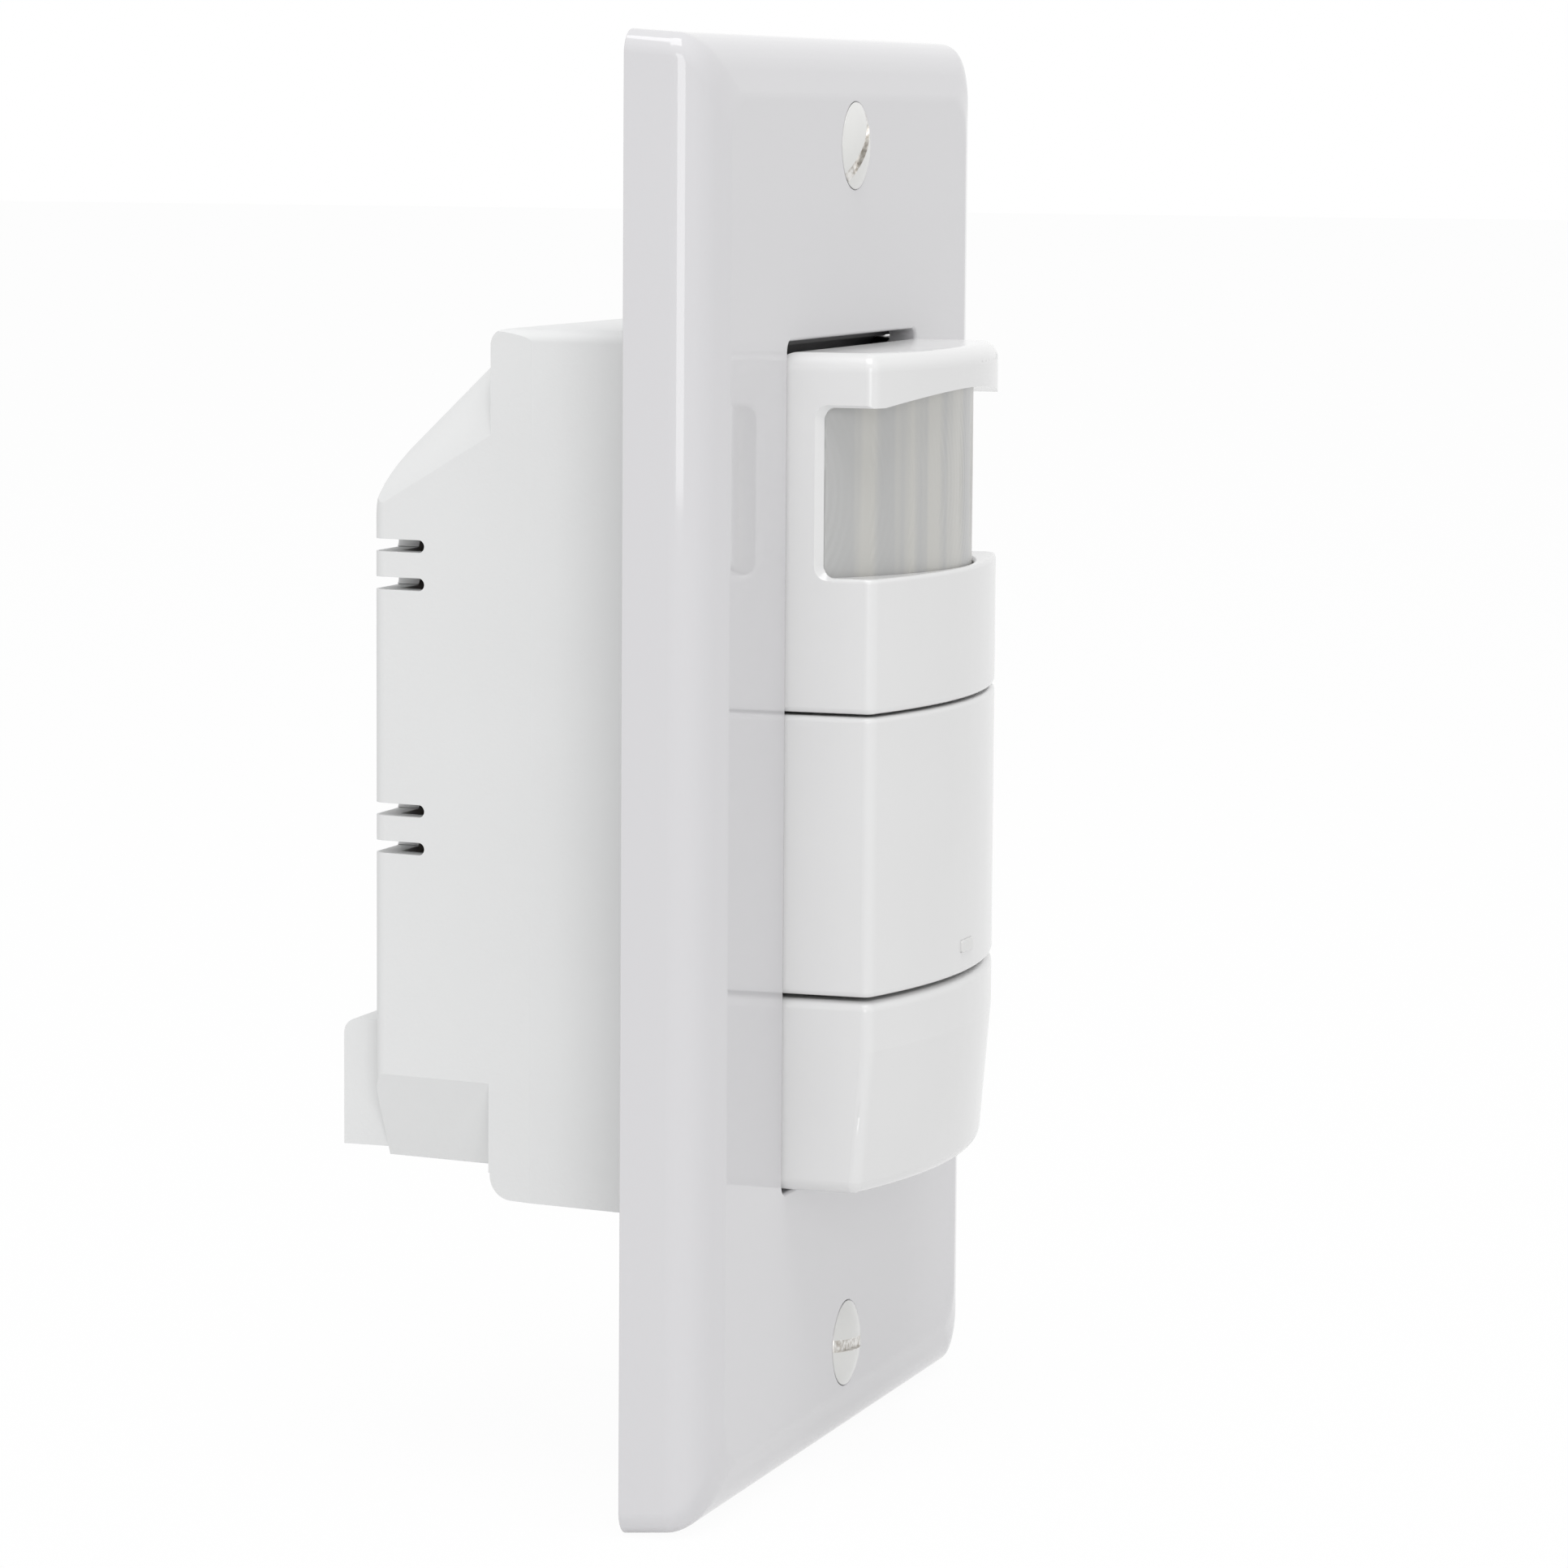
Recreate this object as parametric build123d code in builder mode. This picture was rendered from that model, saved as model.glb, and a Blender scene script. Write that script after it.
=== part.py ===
from build123d import *
import os
from math import cos, radians, sin, sqrt, tan

# A wall switch with a motion sensor. A decorator plate frames a sensor head with a hood and a
# lens that wraps round its front, and two push buttons. A metal yoke carries the front frame
# and the rear housing, which sinks into the wall box.
# X is to the right seen from the front, Y goes into the wall and Z is up. The origin is the
# middle of the plate on the surface of the wall. Lengths are in millimetres.

os.makedirs("parts", exist_ok=True)

# Wall plate, the common one-gang decorator size
plate_width = 69.85
plate_height = 114.3
plate_depth = 6.8
plate_side_depth = 5.2
plate_side_lean = 0.35
plate_bevel_width = 4.9
plate_bevel_bulge = 0.22
plate_wall = 2.3
plate_corner_radius = 1.8
plate_edge_radius = 3.0
opening_width = 33.3
opening_height = 66.8
opening_corner_radius = 0.8
plate_screw_margin = 8.73
screw_boss_wall = 2.0

# Plate screws, number six with an oval slotted head
plate_screw_radius = 1.75
plate_screw_length = 12.7
plate_screw_clearance = 0.25
tapped_clearance = 0.05
oval_head_radius = 3.5
oval_head_dome = 0.85
oval_head_half_angle = 41.0
plate_screw_slot_width = 0.9
plate_screw_slot_depth = 0.95
top_slot_turn = 48.0
bottom_slot_turn = -5.0

# Rear housing
housing_width = 44.4
housing_top = 34.2
housing_bottom = 34.7
housing_bottom_rise = 0.5
housing_front_depth = 15.8
housing_depth = 26.35
housing_taper_start = 12.2
housing_taper = 2.0
housing_wall = 1.8
housing_rear_bottom = 32.2
housing_rear_radius = 1.2
housing_side_radius = 1.0
housing_top_radius = 1.3
housing_bottom_radius = 1.9
slope_rise = 32.8
slope_angle = 45.8
slope_back_radius = 10.0
slope_side_front_reach = 4.8
slope_side_back_reach = 1.2
slope_side_share = 0.4
corner_cut_top = 24.8
corner_cut_width = 3.7
vent_height = 1.0
vent_side_length = 4.65
vent_back_length = 5.4
vent_heights = (17.0, 14.0, -3.9, -6.9)
wiring_block_width = 34.0
wiring_block_top = 21.3
wiring_block_bottom = 31.5
wiring_block_reach = 3.85
wiring_block_wall = 1.6
wiring_block_radius = 1.2

# Mounting yoke, a flat steel strap
yoke_thickness = 1.3
yoke_end_gap = 2.4
yoke_end_width = 25.4
yoke_end_chamfer = 4.0
yoke_body_margin = 2.4
box_hole_radius = 2.2
box_hole_inset = 6.77
ear_score_inset = 3.2
ear_score_width = 0.6
ear_score_depth = 0.5

# Ground screw, number eight with a washer head
ground_screw_radius = 2.05
ground_screw_length = 3.9
ground_head_radius = 3.7
ground_head_height = 2.4
ground_flange_height = 0.7
ground_flange_radius = 4.3
ground_screw_x = 8.2
ground_slot_width = 0.9
ground_slot_depth = 1.0

# Front of the device, shared by the sensor head and the buttons
opening_gap = 0.25
front_corner_depth = 13.8
front_depth = 16.65
front_edge_radius = 1.0
front_wall = 1.6
skirt_depth = 5.8
soft_edge_radius = 0.45

# Sensor head, the hooded piece round the lens
hood_top = 32.6
window_top = 28.4
window_bottom = 15.2
window_side_depth = 9.65
window_corner_radius = 0.9
window_bevel = 0.65
window_bevel_angle = 45.0
window_rim_bevel = 0.2
window_rim_radius = 0.35
hood_arch_rise = 1.05
hood_arch_margin = 1.4
head_bottom = 4.7
head_floor = 1.2
lens_lip = 1.3
hood_radius = 1.4

# Lens and its holder
lens_radius = 23.4
lens_depth = 15.75
lens_wall = 0.7
lens_leg_depth = 7.6
lens_clearance = 0.12
lens_overlap = 1.2
holder_wall = 1.1
holder_depth = 8.9
holder_clearance = 0.25

# Push buttons
button_gap = 0.22
upper_button_height = 21.93
between_buttons = 0.35
lower_button_height = 15.25
lower_button_lean = 0.95
lower_button_straight = 3.9
lower_button_head_radius = 0.75
lower_button_foot_radius = 1.0
button_travel = 0.5
plunger_post_radius = 2.2
light_width = 2.8
light_height = 0.9
light_up = 1.8
light_pipe_clearance = 0.05
light_pipe_air = 0.9
light_pipe_proud = 0.15

# Hooked tabs that hold the sensor head and the buttons to the front frame
tab_height = 4.4
tab_clearance = 0.2
hook_reach = 0.6
hook_height = 0.8
hook_clearance = 0.1

# Front frame, a moulded tray on the front of the yoke
frame_width = 42.4
frame_height = 69.2
frame_thickness = 1.3
frame_corner_radius = 2.5
frame_lip_wall = 0.8
frame_lip_height = 1.6
yoke_window_margin = 0.75
yoke_window_height = 66.0
rail_wall = 1.0
rail_height = 2.4
standoff_height = 0.8
standoff_radius = 2.0
standoff_top_z = 26.0
standoff_low_z = -28.0
header_window_width = 12.0
header_window_height = 5.0
post_radius = 1.6
post_x = 7.8
post_z = 24.0

# Screws that hold the front frame, the yoke and the rear housing together
housing_screw_radius = 1.25
housing_screw_length = 9.0
housing_screw_head_radius = 2.3
housing_screw_head_height = 1.5
housing_screw_clearance = 0.15
housing_screw_x = 19.0
housing_screw_z = 30.4
housing_boss_radius = 2.6
housing_boss_depth = 10.0
cross_slot_width = 0.6
cross_slot_share = 0.6

# Sensor board and what it carries
board_thickness = 1.6
board_clearance = 0.1
board_screw_radius = 1.0
board_screw_length = 3.6
board_screw_head_radius = 1.9
board_screw_head_height = 1.2
board_screw_inset = 2.9
board_screw_z = 9.0
pir_base_radius = 4.6
pir_base_height = 0.5
pir_can_radius = 4.1
pir_can_height = 4.2
pir_window_width = 4.0
pir_window_height = 3.0
pir_window_thickness = 0.3
pir_lead_radius = 0.22
pir_lead_length = 2.4
pir_lead_circle = 2.54
light_sensor_x = 8.4
light_sensor_radius = 1.5
light_sensor_height = 3.2
light_sensor_dome_share = 0.9
status_led_width = 2.0
status_led_height = 1.2
status_led_depth = 0.8
tact_width = 6.0
tact_body_height = 3.5
tact_plunger_radius = 1.75
tact_plunger_height = 1.5
tact_plunger_root = 1.0
tact_bore_clearance = 0.06
lower_tact_up = 7.5
head_tab_inset = 6.4
head_tab_up = 4.6
trimmer_width = 6.6
trimmer_height = 3.2
trimmer_rotor_radius = 2.2
trimmer_rotor_depth = 1.6
trimmer_rotor_proud = 0.3
trimmer_clearance = 0.06
trimmer_slot_width = 0.7
trimmer_slot_depth = 0.6
trimmer_x = 8.4
time_trimmer_z = -1.9
light_trimmer_z = -10.2
dip_length = 11.7
dip_width = 6.2
dip_height = 3.0
dip_x = -8.4
dip_z = -7.2
dip_sliders = 4
dip_pitch = 2.54
dip_slot_length = 3.0
dip_slot_width = 1.3
dip_slot_depth = 1.0
dip_slider_length = 1.4
dip_slider_clearance = 0.08
dip_slider_proud = 0.5
chip_width = 3.9
chip_height = 8.7
chip_thickness = 1.5
chip_foot_reach = 1.0
chip_foot_width = 0.45
chip_foot_thickness = 0.25
chip_foot_pitch = 1.27
chip_feet = 7
chip_x = 8.4
header_pins = 5
header_pitch = 2.0
header_width = 2.5
header_pin_width = 0.64
header_pin_proud = 1.0
header_z = -1.5

# Power board and what it carries
power_board_depth = 2.4
power_board_width = 39.2
power_board_height = 54.0
relay_width = 15.5
relay_height = 19.0
relay_depth = 15.3
relay_x = 9.6
relay_bottom = 0.3
relay_radius = 0.8
lead_radius = 0.4
lead_hole_clearance = 0.1
lead_proud = 0.6
relay_pin_inset = 2.2
film_width = 18.0
film_height = 8.5
film_depth = 14.0
film_x = -8.6
film_z = -11.4
canister_radius = 4.0
canister_depth = 12.0
canister_groove = 0.35
canister_groove_width = 0.9
canister_groove_up = 1.6
canister_x = 6.4
canister_z = -9.0
canister_spacing = 8.6
canister_lower_drop = 8.2
varistor_radius = 4.6
varistor_thickness = 3.6
varistor_x = -12.6
varistor_gap = 1.5
varistor_stand = 2.5
varistor_lead_x = 2.5
film_lead_x = 7.5
canister_lead_x = 1.75
fuse_lead_x = 2.54
fuse_width = 8.4
fuse_height = 4.3
fuse_depth = 7.6
fuse_x = 2.0
fuse_gap = 1.35
fuse_radius = 1.0
ledge_height = 3.0
ledge_reach = 1.6
ledge_z = 14.0

# Wiring terminals, cage clamps in the block at the foot of the housing
terminal_count = 4
terminal_pitch = 7.8
clamp_width = 6.2
clamp_height = 7.0
clamp_length = 6.8
clamp_back_gap = 0.3
wire_radius = 1.6
wire_up = 4.9
clamp_leg_width = 1.6
clamp_leg_thickness = 0.8
terminal_screw_radius = 1.5
terminal_screw_reach = 3.0
terminal_head_radius = 2.4
terminal_head_height = 1.5
terminal_head_clearance = 0.25
terminal_slot_width = 0.7
terminal_slot_depth = 0.7

# How far a cut runs past the surface that it opens, and how close two levels count as one
overrun = 1.0
level_tolerance = 0.01

# Levels and half sizes that several pieces share
plate_half_width = plate_width / 2
plate_half_height = plate_height / 2
plate_screw_z = plate_half_height - plate_screw_margin
box_hole_z = plate_screw_z - box_hole_inset
yoke_half_height = plate_half_height - plate_wall - yoke_end_gap
front_half_width = opening_width / 2 - opening_gap
housing_half_width = housing_width / 2
wiring_block_depth = housing_depth + wiring_block_reach
yoke_window_width = opening_width + 2 * yoke_window_margin
frame_back = -yoke_thickness
frame_front = frame_back - frame_thickness
sensor_board_back = frame_front - standoff_height
sensor_board_front = sensor_board_back - board_thickness
power_board_back = power_board_depth + board_thickness
lens_centre = lens_radius - lens_depth
lens_half_width = front_half_width - window_bevel - lens_clearance / 2
window_middle = (window_top + window_bottom) / 2
upper_button_top = head_bottom - button_gap
upper_button_bottom = upper_button_top - upper_button_height
lower_button_top = upper_button_bottom - between_buttons
lower_button_bottom = lower_button_top - lower_button_height
status_light_z = upper_button_bottom + light_up + light_height / 2
lower_tact_z = lower_button_bottom + lower_tact_up
plunger_tip = sensor_board_front - tact_body_height - tact_plunger_height
led_front = sensor_board_front - status_led_depth
frame_inner_width = 2 * (front_half_width - front_wall - tab_clearance)
rail_middle = (hood_top + lower_button_bottom) / 2
rail_length = hood_top - lower_button_bottom - 2 * front_wall - 2 * tab_clearance
sensor_board_width = frame_inner_width - 2 * rail_wall - 2 * board_clearance
sensor_board_height = rail_length - 2 * rail_wall - 2 * board_clearance
board_screw_x = sensor_board_width / 2 - board_screw_inset
relay_z = relay_bottom + relay_height / 2
relay_top = relay_bottom + relay_height
varistor_z = relay_top + varistor_gap + varistor_thickness / 2
fuse_z = relay_top + fuse_gap + fuse_height / 2
upper_button_z = (upper_button_top + upper_button_bottom) / 2
lower_button_z = (lower_button_top + lower_button_bottom) / 2
upper_tact_z = upper_button_z
head_tab_heights = (hood_top - head_tab_inset, head_bottom + head_tab_up)
tab_heights = (*head_tab_heights, upper_button_z, lower_button_z)
board_screw_places = ((-board_screw_x, board_screw_z), (board_screw_x, board_screw_z))
standoff_places = [
    (x, z)
    for x in (-board_screw_x, board_screw_x)
    for z in (board_screw_z, standoff_top_z, standoff_low_z)
]
housing_screw_places = [
    (x, z)
    for x in (-housing_screw_x, housing_screw_x)
    for z in (-housing_screw_z, housing_screw_z)
]


def front_plane(depth):
    """A plane that faces the front at this depth, with X to the right and Z up."""
    return Plane(origin=(0, depth, 0), x_dir=(1, 0, 0), z_dir=(0, -1, 0))


def side_plane(across):
    """A plane that faces right at this X, with Y across and Z up."""
    return Plane.YZ.offset(across)


def front_section(inset, back):
    """The level section of the sensor head and the buttons: straight sides and a bowed front,
    moved in by the inset and closed at the back."""
    half = front_half_width - inset
    corner = -(front_corner_depth - inset)
    with BuildSketch() as section:
        with BuildLine():
            Polyline((-half, corner), (-half, -back), (half, -back), (half, corner))
            ThreePointArc((half, corner), (0, -(front_depth - inset)), (-half, corner))
        make_face()
        corners_in_front = section.vertices().filter_by(lambda v: v.Y < -back - inset)
        fillet(corners_in_front, max(front_edge_radius - inset, front_edge_radius / 4))
    return section.sketch


def lens_section(shrink, back):
    """The level section inside the lens surface: a round front and straight legs behind it.
    The surface moves in by the amount to shrink, or out where that is negative."""
    radius = lens_radius - shrink
    half = lens_half_width - shrink
    corner = lens_centre - sqrt(radius**2 - half**2)
    with BuildSketch() as section:
        with BuildLine():
            Polyline((-half, corner), (-half, -back), (half, -back), (half, corner))
            ThreePointArc((half, corner), (0, lens_centre - radius), (-half, corner))
        make_face()
    return section.sketch


def tab_pair(height, start):
    """Two hooked tabs that run back from this depth on both sides, at this height."""
    inner = front_half_width - front_wall
    hook_front = frame_back + hook_clearance
    with BuildPart() as tabs:
        with BuildSketch(Plane.XY.offset(height - tab_height / 2)):
            for side in (-1, 1):
                with BuildLine():
                    Polyline(
                        (side * inner, start),
                        (side * front_half_width, start),
                        (side * front_half_width, hook_front),
                        (side * (front_half_width + hook_reach), hook_front),
                        (side * front_half_width, hook_front + hook_height),
                        (side * inner, hook_front + hook_height),
                        close=True,
                    )
                make_face()
        extrude(amount=tab_height)
    return tabs.part


def screw_slot(x, z, face, length, width, depth, turn):
    """A straight driver slot sunk back from a face that looks to the front."""
    with BuildPart() as slot:
        with BuildSketch(front_plane(face + depth)):
            with Locations((x, z)):
                Rectangle(length, width, rotation=turn)
        extrude(amount=depth + overrun)
    return slot.part


# Wall plate, a level outline and an upright one crossed, which leaves mitred corners
def plate_section(half, height):
    """One section of the plate: leaning sides, a bowed bevel and a flat face."""
    crease = half - plate_side_lean
    face_edge = half - plate_bevel_width
    middle = (crease + face_edge) / 2
    bevel_middle = -(plate_side_depth + plate_depth) / 2 - plate_bevel_bulge
    with BuildSketch() as section:
        with BuildLine():
            Polyline((-crease, -plate_side_depth), (-half, 0), (half, 0), (crease, -plate_side_depth))
            ThreePointArc((crease, -plate_side_depth), (middle, bevel_middle), (face_edge, -plate_depth))
            Line((face_edge, -plate_depth), (-face_edge, -plate_depth))
            ThreePointArc((-face_edge, -plate_depth), (-middle, bevel_middle), (-crease, -plate_side_depth))
        make_face()
        fillet(section.vertices().filter_by(lambda v: abs(v.X) == crease), plate_edge_radius)
    return extrude(section.sketch.moved(Location((0, 0, -height))), amount=2 * height)


plate_level = plate_section(plate_half_width, plate_half_height)
plate_upright = plate_section(plate_half_height, plate_half_width).rotate(Axis.Y, 90)
plate_room_depth = plate_depth - plate_wall
boss_radius = oval_head_radius + screw_boss_wall / 2

with BuildPart() as wall_plate:
    add(plate_level)
    add(plate_upright, mode=Mode.INTERSECT)
    with BuildSketch(front_plane(overrun)):
        RectangleRounded(plate_width, plate_height, plate_corner_radius)
    extrude(amount=plate_depth + 2 * overrun, mode=Mode.INTERSECT)
    with BuildSketch(front_plane(overrun)):
        Rectangle(plate_width - 2 * plate_wall, plate_height - 2 * plate_wall)
    extrude(amount=plate_room_depth + overrun, taper=plate_side_lean, mode=Mode.SUBTRACT)
    with BuildSketch(front_plane(-plate_room_depth)):
        with Locations((0, plate_screw_z), (0, -plate_screw_z)):
            Circle(boss_radius)
    extrude(amount=-(plate_room_depth - yoke_thickness))
    with BuildSketch(front_plane(overrun)):
        RectangleRounded(opening_width, opening_height, opening_corner_radius)
    extrude(amount=plate_depth + 2 * overrun, mode=Mode.SUBTRACT)
    head_cone_depth = (oval_head_radius - plate_screw_radius) / tan(radians(oval_head_half_angle))
    for screw_z in (plate_screw_z, -plate_screw_z):
        with BuildSketch(front_plane(overrun)):
            with Locations((0, screw_z)):
                Circle(plate_screw_radius + plate_screw_clearance)
        extrude(amount=plate_depth + 2 * overrun, mode=Mode.SUBTRACT)
        with Locations(Plane(origin=(0, -plate_depth, screw_z), z_dir=(0, 1, 0))):
            Cone(
                oval_head_radius,
                plate_screw_radius,
                head_cone_depth,
                align=(Align.CENTER, Align.CENTER, Align.MIN),
                mode=Mode.SUBTRACT,
            )
wall_plate.part.label = "wall_plate"
export_step(wall_plate.part, "parts/wall_plate.step")


# Plate screws, turned about their axes from a half outline
def oval_screw(z, turn):
    """An oval slotted screw at this height whose cone lies in the plate."""
    dome_radius = (oval_head_radius**2 + oval_head_dome**2) / (2 * oval_head_dome)
    bow = sqrt(dome_radius**2 - (oval_head_radius / 2) ** 2) - (dome_radius - oval_head_dome)
    face = -plate_depth
    with BuildPart() as screw:
        with BuildSketch(side_plane(0)):
            with BuildLine():
                Polyline(
                    (face - oval_head_dome, z),
                    (face - oval_head_dome + plate_screw_length, z),
                    (face - oval_head_dome + plate_screw_length, z + plate_screw_radius),
                    (face + head_cone_depth, z + plate_screw_radius),
                    (face, z + oval_head_radius),
                )
                ThreePointArc(
                    (face, z + oval_head_radius),
                    (face - bow, z + oval_head_radius / 2),
                    (face - oval_head_dome, z),
                )
            make_face()
        revolve(axis=Axis((0, 0, z), (0, 1, 0)))
        slot_floor = face - oval_head_dome + plate_screw_slot_depth
        add(
            screw_slot(
                0,
                z,
                slot_floor - plate_screw_slot_depth,
                2 * oval_head_radius + overrun,
                plate_screw_slot_width,
                plate_screw_slot_depth,
                turn,
            ),
            mode=Mode.SUBTRACT,
        )
    return screw.part


with BuildPart() as plate_screws:
    add(oval_screw(plate_screw_z, top_slot_turn))
    add(oval_screw(-plate_screw_z, bottom_slot_turn))
plate_screws.part.label = "plate_screws"
export_step(plate_screws.part, "parts/plate_screws.step")

# Mounting yoke: a wide middle round a window, and two ends with ears that rest on the wall
ground_screw_z = -box_hole_z
with BuildPart() as mounting_yoke:
    with BuildSketch(front_plane(0)):
        Rectangle(housing_width, housing_top + housing_bottom + 2 * yoke_body_margin)
        with BuildSketch(mode=Mode.PRIVATE) as yoke_ends:
            Rectangle(yoke_end_width, 2 * yoke_half_height)
            chamfer(yoke_ends.vertices(), yoke_end_chamfer)
        add(yoke_ends.sketch)
        Rectangle(yoke_window_width, yoke_window_height, mode=Mode.SUBTRACT)
        with Locations((0, plate_screw_z), (0, -plate_screw_z)):
            Circle(plate_screw_radius + tapped_clearance, mode=Mode.SUBTRACT)
        with Locations((0, box_hole_z), (0, -box_hole_z)):
            Circle(box_hole_radius, mode=Mode.SUBTRACT)
        with Locations((ground_screw_x, ground_screw_z)):
            Circle(ground_screw_radius + tapped_clearance, mode=Mode.SUBTRACT)
        with GridLocations(2 * housing_screw_x, 2 * housing_screw_z, 2, 2):
            Circle(housing_screw_radius + housing_screw_clearance, mode=Mode.SUBTRACT)
    extrude(amount=yoke_thickness)
    with BuildSketch(front_plane(-yoke_thickness + ear_score_depth)):
        with GridLocations(yoke_end_width - 2 * ear_score_inset, 2 * yoke_half_height, 2, 2):
            Rectangle(ear_score_width, 2 * plate_screw_margin)
    extrude(amount=ear_score_depth + overrun, mode=Mode.SUBTRACT)
mounting_yoke.part.label = "mounting_yoke"
export_step(mounting_yoke.part, "parts/mounting_yoke.step")

# Ground screw, whose washer head clamps a wire loop against the back of the yoke
with BuildPart() as ground_screw:
    with BuildSketch(front_plane(0)):
        with Locations((ground_screw_x, ground_screw_z)):
            Circle(ground_flange_radius)
    extrude(amount=-ground_flange_height)
    with BuildSketch(front_plane(ground_flange_height)):
        with Locations((ground_screw_x, ground_screw_z)):
            RegularPolygon(ground_head_radius, 6)
    extrude(amount=-(ground_head_height - ground_flange_height))
    with BuildSketch(front_plane(0)):
        with Locations((ground_screw_x, ground_screw_z)):
            Circle(ground_screw_radius)
    extrude(amount=ground_screw_length)
    with BuildSketch(front_plane(ground_head_height - ground_slot_depth)):
        with Locations((ground_screw_x, ground_screw_z)):
            Rectangle(2 * ground_head_radius, ground_slot_width)
    extrude(amount=-(ground_slot_depth + overrun), mode=Mode.SUBTRACT)
ground_screw.part.label = "ground_screw"
export_step(ground_screw.part, "parts/ground_screw.step")


# Rear housing: a level outline with tapered sides, crossed with an upright outline whose top
# slopes back. The room inside is the same pair of outlines moved in by the wall
def housing_shape(inset, front):
    """The housing without its wiring block, moved in by the inset and open to this depth."""
    taper_half = housing_half_width - housing_taper
    slope_run = housing_depth - housing_front_depth
    slope_drop = slope_run * tan(radians(slope_angle))
    with BuildSketch() as level:
        with BuildLine():
            Polyline(
                (-housing_half_width, front),
                (-housing_half_width, housing_taper_start),
                (-taper_half, housing_depth),
                (taper_half, housing_depth),
                (housing_half_width, housing_taper_start),
                (housing_half_width, front),
                close=True,
            )
        make_face()
        rear_corners = level.vertices().filter_by(lambda v: v.Y > housing_front_depth)
        fillet(rear_corners, housing_rear_radius)
        if inset:
            offset(amount=-inset)
    with BuildSketch() as upright:
        with BuildLine():
            Polyline(
                (front, housing_top),
                (housing_front_depth, housing_top),
                (housing_front_depth, slope_rise),
                (housing_depth, slope_rise - slope_drop),
                (housing_depth, -housing_rear_bottom),
                (housing_front_depth, -housing_rear_bottom),
                (housing_front_depth, housing_bottom_rise - housing_bottom),
                (front, -housing_bottom),
                close=True,
            )
        make_face()
        slope_end = upright.vertices().filter_by(
            lambda v: v.X > housing_front_depth + slope_run / 2 and v.Y > 0
        )
        fillet(slope_end, slope_back_radius)
        if inset:
            offset(amount=-inset)
        else:
            rear_corners = upright.vertices().filter_by(lambda v: v.X == housing_front_depth)
            fillet(rear_corners.sort_by(Axis.Y)[0], housing_bottom_radius)
            rear_corners = upright.vertices().filter_by(lambda v: v.X == housing_front_depth)
            fillet(rear_corners.sort_by(Axis.Y)[-1], housing_top_radius)
    with BuildPart() as shape:
        with BuildSketch(Plane.XY.offset(-plate_half_height)):
            add(level.sketch)
        extrude(amount=plate_height)
        with BuildSketch(side_plane(-plate_half_width)):
            add(upright.sketch)
        extrude(amount=plate_width, mode=Mode.INTERSECT)
    return shape.part


def corner_wedges(inset):
    """Wedges that slant the lower corners of the rear part. They follow the tapered sides, and
    their slanted faces move in by the inset."""
    taper_half = housing_half_width - housing_taper
    drop = housing_rear_bottom - corner_cut_top
    shift = inset * sqrt(corner_cut_width**2 + drop**2) / drop
    rear_run = housing_depth - housing_front_depth
    lean = housing_taper * rear_run / (housing_depth - housing_taper_start)
    start = housing_depth + overrun
    with BuildPart() as wedges:
        for side in (-1, 1):
            top = (side * (taper_half - shift + corner_cut_width), drop - corner_cut_top)
            foot = (side * (taper_half - shift - 2 * corner_cut_width), -2 * drop - corner_cut_top)
            with BuildSketch(front_plane(start)):
                with BuildLine():
                    Polyline(top, foot, (top[0], foot[1]), close=True)
                make_face()
            extrude(amount=rear_run + overrun + inset, dir=(side * lean, -rear_run, 0))
    return wedges.part


def slope_edge_cuts(inset):
    """What the bulged facet between the slope and the sides takes away, moved in by the inset. It
    narrows rearwards, and a level cut through the slope stretches it upright."""
    slope = radians(slope_angle)
    move = inset * sqrt(1 + cos(slope) ** 2)
    with BuildPart() as cuts:
        for side in (-1, 1):
            for depth, reach in (
                (housing_front_depth - inset, slope_side_front_reach + move),
                (housing_depth + overrun, slope_side_back_reach + move),
            ):
                taper_share = (depth - housing_taper_start) / (housing_depth - housing_taper_start)
                across = housing_half_width - housing_taper * taper_share
                top = slope_rise - (depth - housing_front_depth) * tan(slope)
                drop = reach / cos(slope)
                outside = across + overrun
                above = top + overrun
                with BuildSketch(front_plane(depth)):
                    with BuildLine():
                        ThreePointArc(
                            (side * (across - reach), top),
                            (side * (across - slope_side_share * reach), top - slope_side_share * drop),
                            (side * across, top - drop),
                        )
                        Polyline(
                            (side * across, top - drop),
                            (side * outside, top - drop),
                            (side * outside, above),
                            (side * (across - reach), above),
                            (side * (across - reach), top),
                        )
                    make_face()
            loft()
    return cuts.part


def vent_cuts():
    """Slots with round ends through the sides and the back, which meet at the rear corners."""
    side_end = housing_depth - vent_side_length + vent_height / 2
    back_end = housing_half_width - housing_taper - vent_back_length + vent_height / 2
    reach = housing_half_width + overrun
    inside = housing_depth - 2 * housing_wall
    with BuildPart() as vents:
        with BuildSketch(side_plane(-reach)):
            for height in vent_heights:
                with Locations((side_end, height)):
                    Circle(vent_height / 2)
                    Rectangle(housing_depth, vent_height, align=(Align.MIN, Align.CENTER))
        extrude(amount=2 * reach)
        with BuildSketch(front_plane(inside)):
            for height in vent_heights:
                with Locations((0, height)):
                    SlotOverall(2 * back_end, vent_height)
        extrude(amount=-2 * housing_depth, mode=Mode.SUBTRACT)
        with BuildSketch(front_plane(inside)):
            for height in vent_heights:
                with Locations((-back_end, height), (back_end, height)):
                    Circle(vent_height / 2)
        extrude(amount=-(2 * housing_wall + overrun))
    return vents.part


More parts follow.
